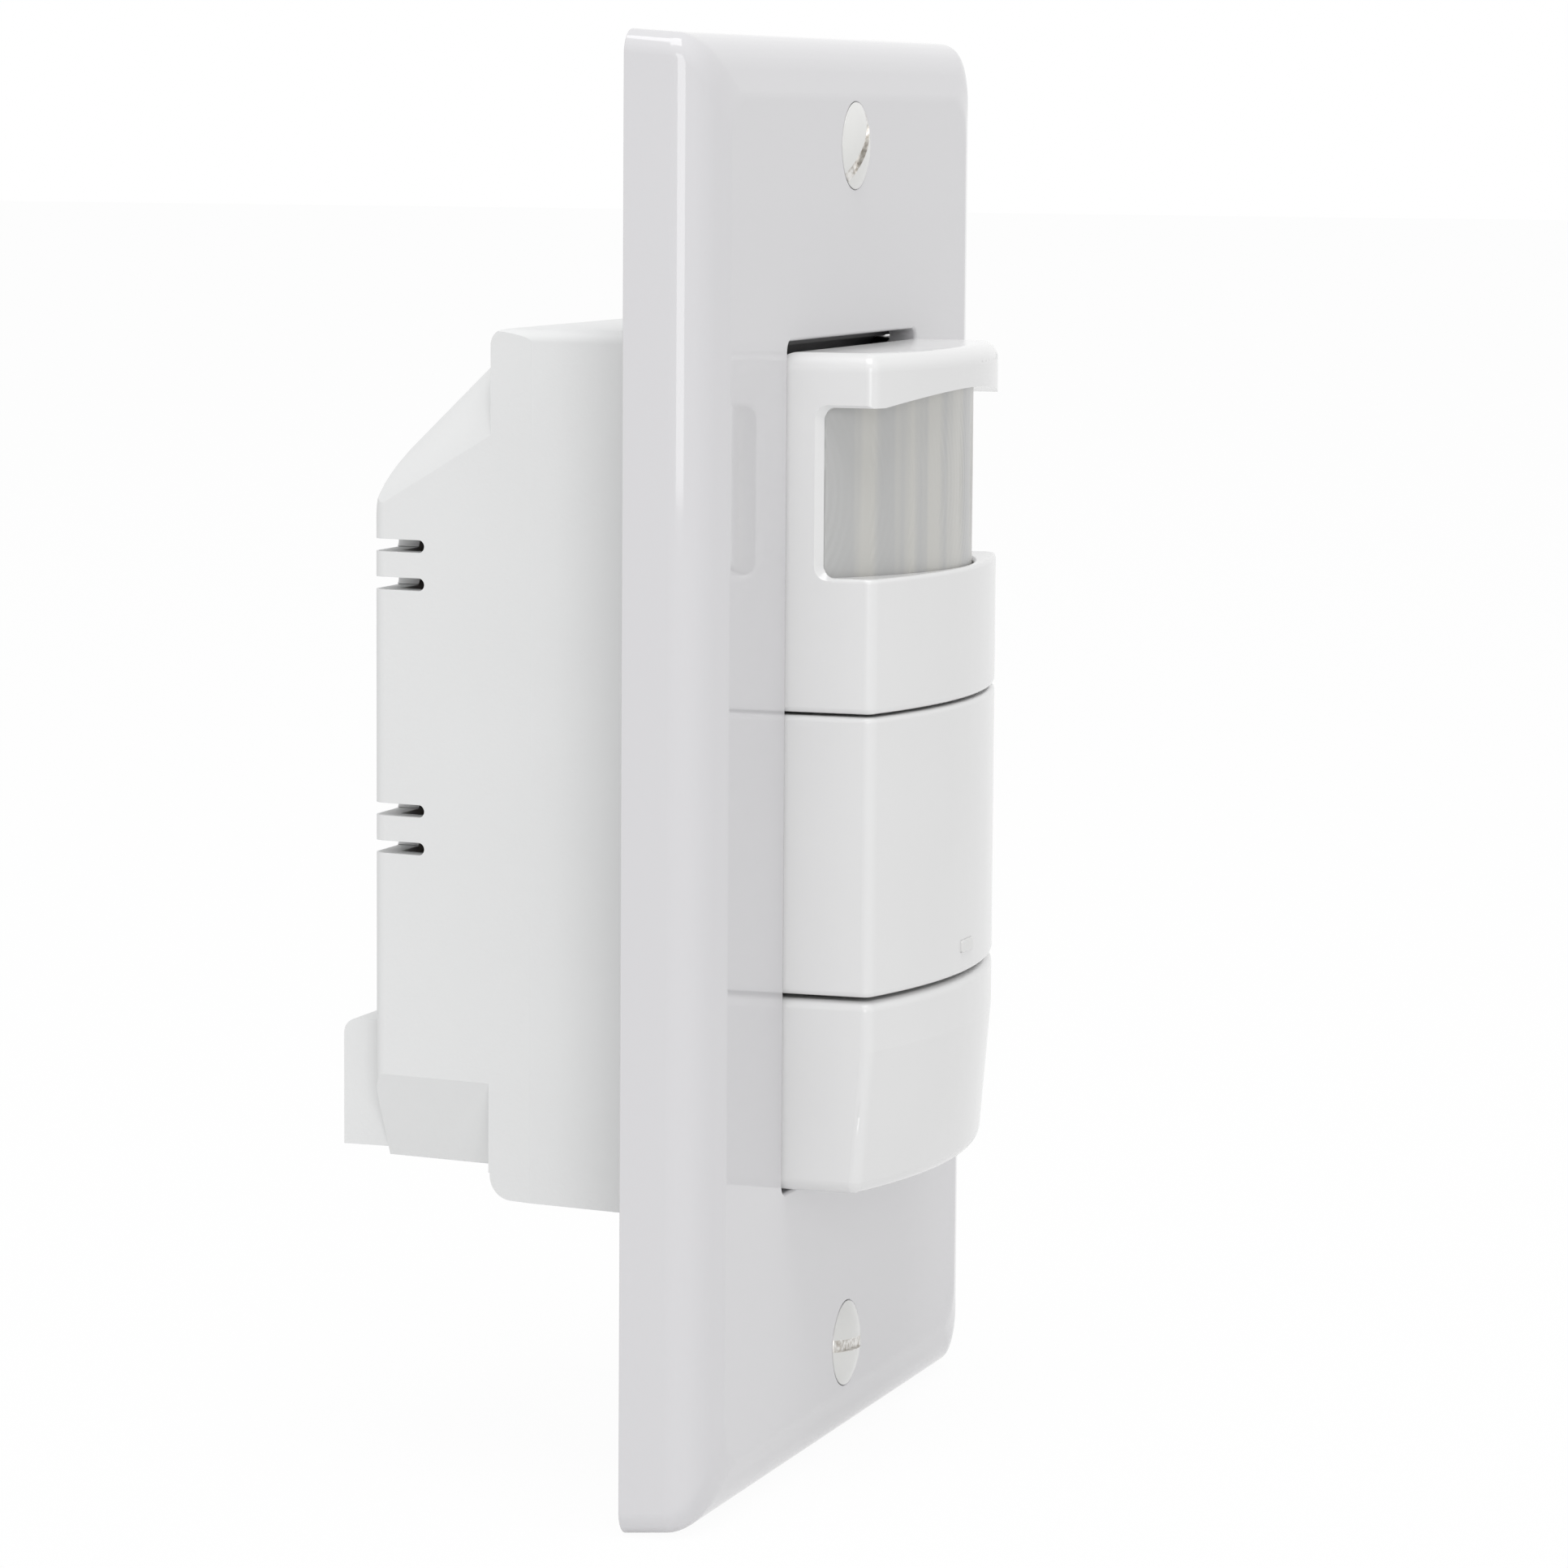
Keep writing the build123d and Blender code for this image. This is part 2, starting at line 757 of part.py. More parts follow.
terminal_xs = [(i - (terminal_count - 1) / 2) * terminal_pitch for i in range(terminal_count)]
clamp_back = wiring_block_depth - wiring_block_wall - clamp_back_gap
clamp_front = clamp_back - clamp_length
clamp_middle = (clamp_back + clamp_front) / 2
clamp_bottom = -(wiring_block_bottom - wiring_block_wall)
clamp_top = clamp_bottom + clamp_height
wire_z = clamp_bottom + wire_up

with BuildPart() as housing_room:
    add(housing_shape(housing_wall, -housing_wall - overrun))
    add(slope_edge_cuts(housing_wall), mode=Mode.SUBTRACT)
    add(corner_wedges(housing_wall), mode=Mode.SUBTRACT)
    with BuildSketch(front_plane(wiring_block_depth - wiring_block_wall)):
        with Locations((0, -(wiring_block_top + wiring_block_bottom) / 2)):
            Rectangle(
                wiring_block_width - 2 * wiring_block_wall,
                wiring_block_bottom - wiring_block_top - 2 * wiring_block_wall,
            )
    extrude(amount=wiring_block_depth - wiring_block_wall - housing_depth + 2 * housing_wall)

# Bosses for the housing screws and ledges for the power board, kept within the walls
with BuildPart() as housing_fittings:
    with BuildSketch(front_plane(0)):
        with Locations(*housing_screw_places):
            Circle(housing_boss_radius)
    extrude(amount=-housing_boss_depth)
    with BuildSketch(front_plane(power_board_back)):
        with GridLocations(2 * (housing_half_width - housing_wall), 2 * ledge_z, 2, 2):
            Rectangle(2 * ledge_reach, ledge_height)
    extrude(amount=-(housing_front_depth - power_board_back))
    add(housing_shape(housing_wall / 2, -housing_wall / 2), mode=Mode.INTERSECT)

with BuildPart() as rear_housing:
    add(housing_shape(0, 0))
    with BuildSketch(front_plane(housing_depth)):
        with Locations((0, housing_top - plate_half_height)):
            RectangleRounded(housing_width, plate_height, housing_side_radius)
    extrude(amount=housing_depth, mode=Mode.INTERSECT)
    add(slope_edge_cuts(0), mode=Mode.SUBTRACT)
    add(corner_wedges(0), mode=Mode.SUBTRACT)
    with BuildSketch(front_plane(wiring_block_depth)):
        with Locations((0, -(wiring_block_top + wiring_block_bottom) / 2)):
            Rectangle(wiring_block_width, wiring_block_bottom - wiring_block_top)
    extrude(amount=wiring_block_depth - housing_depth + housing_wall / 2)
    block_edges = rear_housing.edges().filter_by(
        lambda e: abs(e.center().Y - wiring_block_depth) < level_tolerance
    )
    upper_block_edge = block_edges.sort_by(Axis.Z)[-1]
    fillet(upper_block_edge, wiring_block_radius)
    add(housing_room.part, mode=Mode.SUBTRACT)
    add(vent_cuts(), mode=Mode.SUBTRACT)
    add(housing_fittings.part)
    with BuildSketch(front_plane(-overrun)):
        with Locations(*housing_screw_places):
            Circle(housing_screw_radius + tapped_clearance)
    extrude(amount=-(housing_screw_length + overrun), mode=Mode.SUBTRACT)
    with BuildSketch(front_plane(wiring_block_depth - wiring_block_wall - overrun)):
        with Locations(*[(x, wire_z) for x in terminal_xs]):
            Circle(wire_radius)
    extrude(amount=-(wiring_block_wall + 2 * overrun), mode=Mode.SUBTRACT)
    with BuildSketch(Plane.XY.offset(-wiring_block_bottom - overrun)):
        with Locations(*[(x, clamp_middle) for x in terminal_xs]):
            Circle(terminal_head_radius + terminal_head_clearance)
    extrude(amount=wiring_block_wall + 2 * overrun, mode=Mode.SUBTRACT)
rear_housing.part.label = "rear_housing"
export_step(rear_housing.part, "parts/rear_housing.step")

# Front frame, a tray that holds the sensor board and takes the hooks of the front pieces
with BuildPart() as front_frame:
    with BuildSketch(front_plane(frame_back)):
        RectangleRounded(frame_width, frame_height, frame_corner_radius)
        with Locations((0, header_z)):
            Rectangle(header_window_width, header_window_height, mode=Mode.SUBTRACT)
        with Locations(*housing_screw_places):
            Circle(housing_screw_radius + housing_screw_clearance, mode=Mode.SUBTRACT)
    extrude(amount=frame_thickness)
    with BuildSketch(front_plane(frame_front)):
        with Locations((0, rail_middle)):
            Rectangle(frame_inner_width, rail_length)
            Rectangle(frame_inner_width - 2 * rail_wall, rail_length - 2 * rail_wall, mode=Mode.SUBTRACT)
    extrude(amount=rail_height)
    with BuildSketch(front_plane(frame_front)):
        with Locations((0, hood_top + opening_gap + frame_lip_wall / 2)):
            Rectangle(frame_width - 2 * frame_corner_radius, frame_lip_wall)
    extrude(amount=frame_lip_height)
    slot_outer = front_half_width + tab_clearance
    slot_inner = front_half_width - front_wall - tab_clearance
    with BuildSketch(front_plane(frame_back + overrun)):
        for side in (-1, 1):
            for height in tab_heights:
                with Locations((side * (slot_outer + slot_inner) / 2, height)):
                    Rectangle(slot_outer - slot_inner, tab_height + 2 * tab_clearance)
    extrude(amount=frame_thickness + 2 * overrun, mode=Mode.SUBTRACT)
    with BuildSketch(front_plane(frame_front)):
        with Locations(*standoff_places):
            Circle(standoff_radius)
    extrude(amount=standoff_height)
    with BuildSketch(front_plane(frame_back)):
        with GridLocations(2 * post_x, 2 * post_z, 2, 2):
            Circle(post_radius)
    extrude(amount=-(power_board_depth - frame_back))
    with BuildSketch(front_plane(frame_back + overrun)):
        with Locations(*board_screw_places):
            Circle(board_screw_radius)
    extrude(amount=frame_thickness + standoff_height + 2 * overrun, mode=Mode.SUBTRACT)
front_frame.part.label = "front_frame"
export_step(front_frame.part, "parts/front_frame.step")


# Screws with a pan head, turned from a half outline, with a crossed driver slot
def pan_screw(x, z, head_back, head_radius, head_height, shank_radius, length):
    """A pan-head screw whose head sits on this depth and whose shank runs into the wall."""
    slot_length = 2 * head_radius * cross_slot_share
    with BuildPart() as screw:
        with BuildSketch(front_plane(head_back)):
            with Locations((x, z)):
                Circle(head_radius)
        extrude(amount=head_height)
        fillet(screw.edges().sort_by(Axis.Y)[0], head_height / 3)
        with BuildSketch(front_plane(head_back)):
            with Locations((x, z)):
                Circle(shank_radius)
        extrude(amount=-length)
        with BuildSketch(front_plane(head_back - head_height / 2)):
            with Locations((x, z)):
                Rectangle(slot_length, cross_slot_width)
                Rectangle(cross_slot_width, slot_length)
        extrude(amount=head_height, mode=Mode.SUBTRACT)
    return screw.part


with BuildPart() as housing_screws:
    for x, z in housing_screw_places:
        add(
            pan_screw(
                x,
                z,
                frame_front,
                housing_screw_head_radius,
                housing_screw_head_height,
                housing_screw_radius,
                housing_screw_length,
            )
        )
housing_screws.part.label = "housing_screws"
export_step(housing_screws.part, "parts/housing_screws.step")

with BuildPart() as board_screws:
    for x, z in board_screw_places:
        add(
            pan_screw(
                x,
                z,
                sensor_board_front,
                board_screw_head_radius,
                board_screw_head_height,
                board_screw_radius,
                board_screw_length,
            )
        )
board_screws.part.label = "board_screws"
export_step(board_screws.part, "parts/board_screws.step")

# Sensor bezel: the hood, the frame of the lens window and the band below it, in one piece
pocket_bottom = window_bottom - lens_overlap - lens_clearance
pocket_top = window_top + lens_overlap + lens_clearance
with BuildPart() as sensor_bezel:
    with BuildSketch(Plane.XY.offset(head_bottom)):
        add(front_section(0, skirt_depth))
    extrude(amount=hood_top - head_bottom)
    level_edges = sensor_bezel.edges().filter_by(lambda e: e.center().Y < -skirt_depth)
    fillet(level_edges.group_by(Axis.Z)[-1], hood_radius)
    fillet(level_edges.group_by(Axis.Z)[0], soft_edge_radius)
    with BuildSketch(Plane.XY.offset(head_bottom + head_floor)):
        add(front_section(front_wall, skirt_depth - overrun))
    extrude(amount=pocket_bottom - lens_lip - head_bottom - head_floor, mode=Mode.SUBTRACT)
    with BuildSketch(Plane.XY.offset(pocket_bottom)):
        add(lens_section(-lens_clearance, skirt_depth - overrun))
    extrude(amount=pocket_top - pocket_bottom, mode=Mode.SUBTRACT)
    window_reach = front_depth + overrun - window_side_depth
    with BuildSketch(side_plane(-front_half_width - overrun)):
        with Locations((-window_side_depth - window_reach / 2, window_middle)):
            RectangleRounded(window_reach, window_top - window_bottom, window_corner_radius)
    extrude(amount=2 * (front_half_width + overrun), mode=Mode.SUBTRACT)
    for side in (-1, 1):
        face = Plane(origin=(side * front_half_width, 0, 0), x_dir=(0, 1, 0), z_dir=(side, 0, 0))
        with BuildSketch(face):
            with Locations((-window_side_depth + window_bevel - window_reach / 2, side * window_middle)):
                RectangleRounded(
                    window_reach,
                    window_top - window_bottom + 2 * window_rim_bevel,
                    window_corner_radius + window_rim_bevel,
                )
        extrude(amount=-window_bevel, taper=window_bevel_angle, mode=Mode.SUBTRACT)
    arch_half = front_half_width - hood_arch_margin
    with BuildSketch(front_plane(-window_side_depth)):
        with BuildLine():
            ThreePointArc((-arch_half, window_top), (0, window_top + hood_arch_rise), (arch_half, window_top))
            Line((arch_half, window_top), (-arch_half, window_top))
        make_face()
    extrude(amount=window_reach, mode=Mode.SUBTRACT)
    front_rims = sensor_bezel.edges().filter_by(
        lambda e: abs(e.center().Z - window_bottom) < level_tolerance
    )
    front_rims = front_rims.filter_by(lambda e: e.center().Y < -front_corner_depth)
    fillet(front_rims, window_rim_radius)
    for height in head_tab_heights:
        add(tab_pair(height, -skirt_depth))
sensor_bezel.part.label = "sensor_bezel"
export_step(sensor_bezel.part, "parts/sensor_bezel.step")

# Lens: a thin bent sheet with straight legs at the sides
lens_bottom = window_bottom - lens_overlap
lens_top = window_top + lens_overlap
with BuildPart() as fresnel_lens:
    with BuildSketch(Plane.XY.offset(lens_bottom)):
        add(lens_section(0, lens_leg_depth))
        add(lens_section(lens_wall, lens_leg_depth - overrun), mode=Mode.SUBTRACT)
    extrude(amount=lens_top - lens_bottom)
fresnel_lens.part.label = "fresnel_lens"
export_step(fresnel_lens.part, "parts/fresnel_lens.step")

# Lens holder, a short channel on the sensor board that backs the lens along its edges
holder_inset = lens_wall + holder_clearance
with BuildPart() as lens_holder:
    with BuildSketch(Plane.XY.offset(lens_bottom)):
        add(lens_section(holder_inset, -sensor_board_front))
    extrude(amount=lens_top - lens_bottom)
    with BuildSketch(Plane.XY.offset(lens_bottom + holder_wall)):
        holder_room = 2 * (lens_half_width - holder_inset - holder_wall)
        with Locations((0, -front_depth)):
            Rectangle(holder_room, 2 * front_depth)
    extrude(amount=lens_top - lens_bottom - 2 * holder_wall, mode=Mode.SUBTRACT)
    with BuildSketch(side_plane(-front_half_width)):
        with Locations((-holder_depth, window_middle)):
            Rectangle(front_depth, window_top - window_bottom, align=(Align.MAX, Align.CENTER))
    extrude(amount=2 * front_half_width, mode=Mode.SUBTRACT)
lens_holder.part.label = "lens_holder"
export_step(lens_holder.part, "parts/lens_holder.step")


# Push buttons, hollow caps with a post over the tactile switch and a hooked tab on each side
def cap_body(inset, top, bottom, straight, lean_rate, back):
    """A column of the front section. Below its straight top it leans back at this rate."""
    run = top - straight - bottom
    with BuildPart() as body:
        with BuildSketch(Plane.XY.offset(top - straight)):
            add(front_section(inset, back))
        extrude(amount=straight)
        with BuildSketch(Plane.XY.offset(top - straight)):
            add(front_section(inset, back))
        extrude(amount=run * sqrt(1 + lean_rate**2), dir=(0, lean_rate, -1))
    return body.part


def push_button(top, bottom, straight, lean_rate, head_radius, foot_radius, tact_z):
    """A push button with rounded edges, hollow from the back."""
    with BuildPart() as button:
        add(cap_body(0, top, bottom, straight, lean_rate, skirt_depth - overrun))
        front_edges = button.edges().filter_by(lambda e: e.center().Y < -skirt_depth)
        fillet(front_edges.group_by(Axis.Z)[-1], head_radius)
        front_edges = button.edges().filter_by(lambda e: e.center().Y < -skirt_depth)
        fillet(front_edges.group_by(Axis.Z)[0], foot_radius)
        room_top = top - front_wall
        room_bottom = bottom + front_wall
        room_straight = straight - front_wall
        room_back = skirt_depth - overrun - front_wall
        add(
            cap_body(front_wall, room_top, room_bottom, room_straight, lean_rate, room_back),
            mode=Mode.SUBTRACT,
        )
        with BuildSketch(front_plane(-skirt_depth)):
            Rectangle(opening_width, opening_height)
        extrude(amount=-2 * overrun - lower_button_lean, mode=Mode.SUBTRACT)
        with BuildSketch(front_plane(plunger_tip)):
            with Locations((0, tact_z)):
                Circle(plunger_post_radius)
        lean = lean_rate * (top - straight - tact_z)
        extrude(amount=front_depth - front_wall / 2 - lean + plunger_tip)
        add(tab_pair((top + bottom) / 2, -skirt_depth))
    return button.part


with BuildPart() as upper_button:
    straight = upper_button_height / 2
    add(
        push_button(
            upper_button_top,
            upper_button_bottom,
            straight,
            0,
            soft_edge_radius,
            soft_edge_radius,
            upper_tact_z,
        )
    )
    with BuildSketch(front_plane(led_front)):
        with Locations((0, status_light_z)):
            Rectangle(light_width + 2 * light_pipe_clearance, light_height + 2 * light_pipe_clearance)
    extrude(amount=front_depth, mode=Mode.SUBTRACT)
upper_button.part.label = "upper_button"
export_step(upper_button.part, "parts/upper_button.step")

with BuildPart() as lower_button:
    lean_rate = lower_button_lean / (lower_button_height - lower_button_straight)
    add(
        push_button(
            lower_button_top,
            lower_button_bottom,
            lower_button_straight,
            lean_rate,
            lower_button_head_radius,
            lower_button_foot_radius,
            lower_tact_z,
        )
    )
lower_button.part.label = "lower_button"
export_step(lower_button.part, "parts/lower_button.step")

# Status light window, a clear bar that carries the light from the board to the button's face
with BuildPart() as status_light_window:
    with BuildSketch(front_plane(led_front - light_pipe_air)):
        with Locations((0, status_light_z)):
            Rectangle(light_width, light_height)
    extrude(amount=front_depth + light_pipe_proud + led_front - light_pipe_air)
status_light_window.part.label = "status_light_window"
export_step(status_light_window.part, "parts/status_light_window.step")

# Sensor board, with holes for the leads, the pins and the two screws that pass through it
header_pin_places = [((i - (header_pins - 1) / 2) * header_pitch, header_z) for i in range(header_pins)]
pir_lead_places = [
    (
        pir_lead_circle * cos(radians(angle)),
        window_middle + pir_lead_circle * sin(radians(angle)),
    )
    for angle in (0, 90, 180)
]
with BuildPart() as sensor_board:
    with BuildSketch(front_plane(sensor_board_back)):
        with Locations((0, rail_middle)):
            Rectangle(sensor_board_width, sensor_board_height)
        with Locations(*board_screw_places):
            Circle(board_screw_radius + tapped_clearance, mode=Mode.SUBTRACT)
        with Locations(*header_pin_places):
            Circle(header_pin_width, mode=Mode.SUBTRACT)
        with Locations(*pir_lead_places):
            Circle(pir_lead_radius + tapped_clearance, mode=Mode.SUBTRACT)
    extrude(amount=board_thickness)
sensor_board.part.label = "sensor_board"
export_step(sensor_board.part, "parts/sensor_board.step")

# Heat sensor: a flanged base with three leads, a metal can and a dark window in its front
pir_can_front = sensor_board_front - pir_base_height - pir_can_height
with BuildPart() as pir_sensor_base:
    with BuildSketch(front_plane(sensor_board_front)):
        with Locations((0, window_middle)):
            Circle(pir_base_radius)
    extrude(amount=pir_base_height)
    with BuildSketch(front_plane(sensor_board_front)):
        with Locations(*pir_lead_places):
            Circle(pir_lead_radius)
    extrude(amount=-pir_lead_length)
pir_sensor_base.part.label = "pir_sensor_base"
export_step(pir_sensor_base.part, "parts/pir_sensor_base.step")

with BuildPart() as pir_sensor_can:
    with BuildSketch(front_plane(sensor_board_front - pir_base_height)):
        with Locations((0, window_middle)):
            Circle(pir_can_radius)
    extrude(amount=pir_can_height)
    fillet(pir_sensor_can.edges().sort_by(Axis.Y)[0], pir_window_thickness)
    with BuildSketch(front_plane(pir_can_front + pir_window_thickness)):
        with Locations((0, window_middle)):
            Rectangle(pir_window_width, pir_window_height)
    extrude(amount=pir_window_thickness + overrun, mode=Mode.SUBTRACT)
pir_sensor_can.part.label = "pir_sensor_can"
export_step(pir_sensor_can.part, "parts/pir_sensor_can.step")

with BuildPart() as pir_sensor_window:
    with BuildSketch(front_plane(pir_can_front + pir_window_thickness)):
        with Locations((0, window_middle)):
            Rectangle(pir_window_width, pir_window_height)
    extrude(amount=pir_window_thickness)
pir_sensor_window.part.label = "pir_sensor_window"
export_step(pir_sensor_window.part, "parts/pir_sensor_window.step")

# Light sensor beside the heat sensor, a small cylinder with a domed front
with BuildPart() as light_sensor:
    with BuildSketch(front_plane(sensor_board_front)):
        with Locations((light_sensor_x, window_middle)):
            Circle(light_sensor_radius)
    extrude(amount=light_sensor_height)
    fillet(light_sensor.edges().sort_by(Axis.Y)[0], light_sensor_radius * light_sensor_dome_share)
light_sensor.part.label = "light_sensor"
export_step(light_sensor.part, "parts/light_sensor.step")

# Status light on the board, behind the bar in the upper button
with BuildPart() as status_led:
    with BuildSketch(front_plane(sensor_board_front)):
        with Locations((0, status_light_z)):
            Rectangle(status_led_width, status_led_height)
    extrude(amount=status_led_depth)
status_led.part.label = "status_led"
export_step(status_led.part, "parts/status_led.step")

# Tactile switches, each a square body with a sunk round plunger
tact_front = sensor_board_front - tact_body_height
for name, height in (("upper", upper_tact_z), ("lower", lower_tact_z)):
    with BuildPart() as tact_switch:
        with BuildSketch(front_plane(sensor_board_front)):
            with Locations((0, height)):
                Rectangle(tact_width, tact_width)
        extrude(amount=tact_body_height)
        with BuildSketch(front_plane(tact_front + tact_plunger_root + button_travel)):
            with Locations((0, height)):
                Circle(tact_plunger_radius + tact_bore_clearance)
        extrude(amount=front_depth, mode=Mode.SUBTRACT)
    tact_switch.part.label = name + "_tact_switch"
    export_step(tact_switch.part, "parts/" + name + "_tact_switch.step")
    with BuildPart() as tact_plunger:
        with BuildSketch(front_plane(tact_front + tact_plunger_root)):
            with Locations((0, height)):
                Circle(tact_plunger_radius)
        extrude(amount=tact_plunger_root + tact_plunger_height)
    tact_plunger.part.label = name + "_tact_plunger"
    export_step(tact_plunger.part, "parts/" + name + "_tact_plunger.step")

# Trimmers for the time and the light level, each a block with a slotted rotor
trimmer_front = sensor_board_front - trimmer_height
for name, height in (("time", time_trimmer_z), ("light", light_trimmer_z)):
    with BuildPart() as trimmer_body:
        with BuildSketch(front_plane(sensor_board_front)):
            with Locations((trimmer_x, height)):
                Rectangle(trimmer_width, trimmer_width)
        extrude(amount=trimmer_height)
        with BuildSketch(front_plane(trimmer_front + trimmer_rotor_depth)):
            with Locations((trimmer_x, height)):
                Circle(trimmer_rotor_radius + trimmer_clearance)
        extrude(amount=front_depth, mode=Mode.SUBTRACT)
    trimmer_body.part.label = name + "_trimmer_body"
    export_step(trimmer_body.part, "parts/" + name + "_trimmer_body.step")
    with BuildPart() as trimmer_rotor:
        with BuildSketch(front_plane(trimmer_front + trimmer_rotor_depth)):
            with Locations((trimmer_x, height)):
                Circle(trimmer_rotor_radius)
        extrude(amount=trimmer_rotor_depth + trimmer_rotor_proud)
        with BuildSketch(front_plane(trimmer_front - trimmer_rotor_proud + trimmer_slot_depth)):
            with Locations((trimmer_x, height)):
                Rectangle(2 * trimmer_rotor_radius, trimmer_slot_width)
        extrude(amount=trimmer_slot_depth + overrun, mode=Mode.SUBTRACT)
    trimmer_rotor.part.label = name + "_trimmer_rotor"
    export_step(trimmer_rotor.part, "parts/" + name + "_trimmer_rotor.step")

# Option switch: a block with four short slots, and a slider in each
dip_front = sensor_board_front - dip_height
dip_slot_zs = [dip_z + ((dip_sliders - 1) / 2 - i) * dip_pitch for i in range(dip_sliders)]
dip_slot_places = [(dip_x, z) for z in dip_slot_zs]
with BuildPart() as option_switch_body:
    with BuildSketch(front_plane(sensor_board_front)):
        with Locations((dip_x, dip_z)):
            Rectangle(dip_width, dip_length)
    extrude(amount=dip_height)
    with BuildSketch(front_plane(dip_front + dip_slot_depth)):
        with Locations(*dip_slot_places):
            Rectangle(dip_slot_length, dip_slot_width)
    extrude(amount=dip_slot_depth + overrun, mode=Mode.SUBTRACT)
option_switch_body.part.label = "option_switch_body"
export_step(option_switch_body.part, "parts/option_switch_body.step")

dip_rest_x = dip_x - (dip_slot_length - dip_slider_length) / 2 + dip_slider_clearance
for number, height in enumerate(dip_slot_zs, start=1):
    with BuildPart() as option_slider:
        with BuildSketch(front_plane(dip_front + dip_slot_depth)):
            with Locations((dip_rest_x, height)):
                Rectangle(dip_slider_length, dip_slot_width - 2 * dip_slider_clearance)
        extrude(amount=dip_slot_depth + dip_slider_proud)
    option_slider.part.label = f"option_slider_{number}"
    export_step(option_slider.part, f"parts/option_slider_{number}.step")

# Control chip with a row of feet on each side
chip_foot_zs = [
    lower_tact_z + (i - (chip_feet - 1) / 2) * chip_foot_pitch for i in range(chip_feet)
]
with BuildPart() as control_chip:
    with BuildSketch(front_plane(sensor_board_front)):
        with Locations((chip_x, lower_tact_z)):
            Rectangle(chip_width, chip_height)
    extrude(amount=chip_thickness)
    with BuildSketch(front_plane(sensor_board_front)):
        with Locations(*[(chip_x, z) for z in chip_foot_zs]):
            Rectangle(chip_width + 2 * chip_foot_reach, chip_foot_width)
    extrude(amount=chip_foot_thickness)
control_chip.part.label = "control_chip"
export_step(control_chip.part, "parts/control_chip.step")

# Header that joins the two boards through the windows of the frame and the yoke
with BuildPart() as board_header:
    with BuildSketch(front_plane(power_board_depth)):
        with Locations((0, header_z)):
            Rectangle(header_pins * header_pitch, header_width)
    extrude(amount=power_board_depth - sensor_board_back)
    with BuildSketch(front_plane(power_board_back + header_pin_proud)):
        with Locations(*header_pin_places):
            Rectangle(header_pin_width, header_pin_width)
    extrude(amount=power_board_back - sensor_board_front + 2 * header_pin_proud)
board_header.part.label = "board_header"
export_step(board_header.part, "parts/board_header.step")

# Places of the leads on the power board, two or more to each part
relay_pin_x = relay_width / 2 - relay_pin_inset
relay_pin_z = relay_height / 2 - relay_pin_inset
relay_lead_places = {
    name: [
        (middle + x, relay_z + z)
        for x in (-relay_pin_x, relay_pin_x)
        for z in (-relay_pin_z, relay_pin_z)
    ]
    for name, middle in (("relay_a", -relay_x), ("relay_b", relay_x))
}
film_lead_places = [(film_x - film_lead_x, film_z), (film_x + film_lead_x, film_z)]
canister_places = (
    (canister_x, canister_z),
    (canister_x + canister_spacing, canister_z),
    (canister_x + canister_spacing / 2, canister_z - canister_lower_drop),
)
canister_lead_places = [
    (x + lead, z) for x, z in canister_places for lead in (-canister_lead_x, canister_lead_x)
]
varistor_lead_places = [
    (varistor_x - varistor_lead_x, varistor_z),
    (varistor_x + varistor_lead_x, varistor_z),
]
fuse_lead_places = [(fuse_x - fuse_lead_x, fuse_z), (fuse_x + fuse_lead_x, fuse_z)]
clamp_leg_z = clamp_top - clamp_leg_thickness / 2
clamp_leg_places = [(x, clamp_leg_z) for x in terminal_xs]
lead_start = power_board_depth - lead_proud


def add_leads(places):
    """Leads that run forward through the board from the back of it."""
    with BuildPart() as leads:
        with BuildSketch(front_plane(power_board_back)):
            with Locations(*places):
                Circle(lead_radius)
        extrude(amount=power_board_back - lead_start)
    return leads.part


with BuildPart() as power_board:
    with BuildSketch(front_plane(power_board_back)):
        Rectangle(power_board_width, power_board_height)
        with Locations(*header_pin_places):
            Circle(header_pin_width, mode=Mode.SUBTRACT)
        with Locations(
            *relay_lead_places["relay_a"],
            *relay_lead_places["relay_b"],
            *film_lead_places,
            *canister_lead_places,
            *varistor_lead_places,
            *fuse_lead_places,
        ):
            Circle(lead_radius + lead_hole_clearance, mode=Mode.SUBTRACT)
        with Locations(*clamp_leg_places):
            Rectangle(
                clamp_leg_width + 2 * lead_hole_clearance,
                clamp_leg_thickness + 2 * lead_hole_clearance,
                mode=Mode.SUBTRACT,
            )
    extrude(amount=board_thickness)
power_board.part.label = "power_board"
export_step(power_board.part, "parts/power_board.step")

# Relays, one for each load, as sealed cases
for name, across in (("relay_a", -relay_x), ("relay_b", relay_x)):
    with BuildPart() as relay:
        with BuildSketch(front_plane(power_board_back)):
            with Locations((across, relay_z)):
                Rectangle(relay_width, relay_height)
        extrude(amount=-relay_depth)
        fillet(relay.edges().filter_by(Axis.Y), relay_radius)
        fillet(relay.edges().group_by(Axis.Y)[-1], relay_radius / 2)
        add(add_leads(relay_lead_places[name]))
    relay.part.label = name
    export_step(relay.part, "parts/" + name + ".step")

with BuildPart() as film_capacitor:
    with BuildSketch(front_plane(power_board_back)):
        with Locations((film_x, film_z)):
            Rectangle(film_width, film_height)
    extrude(amount=-film_depth)
    fillet(film_capacitor.edges().filter_by(Axis.Y), relay_radius)
    add(add_leads(film_lead_places))
film_capacitor.part.label = "film_capacitor"
export_step(film_capacitor.part, "parts/film_capacitor.step")

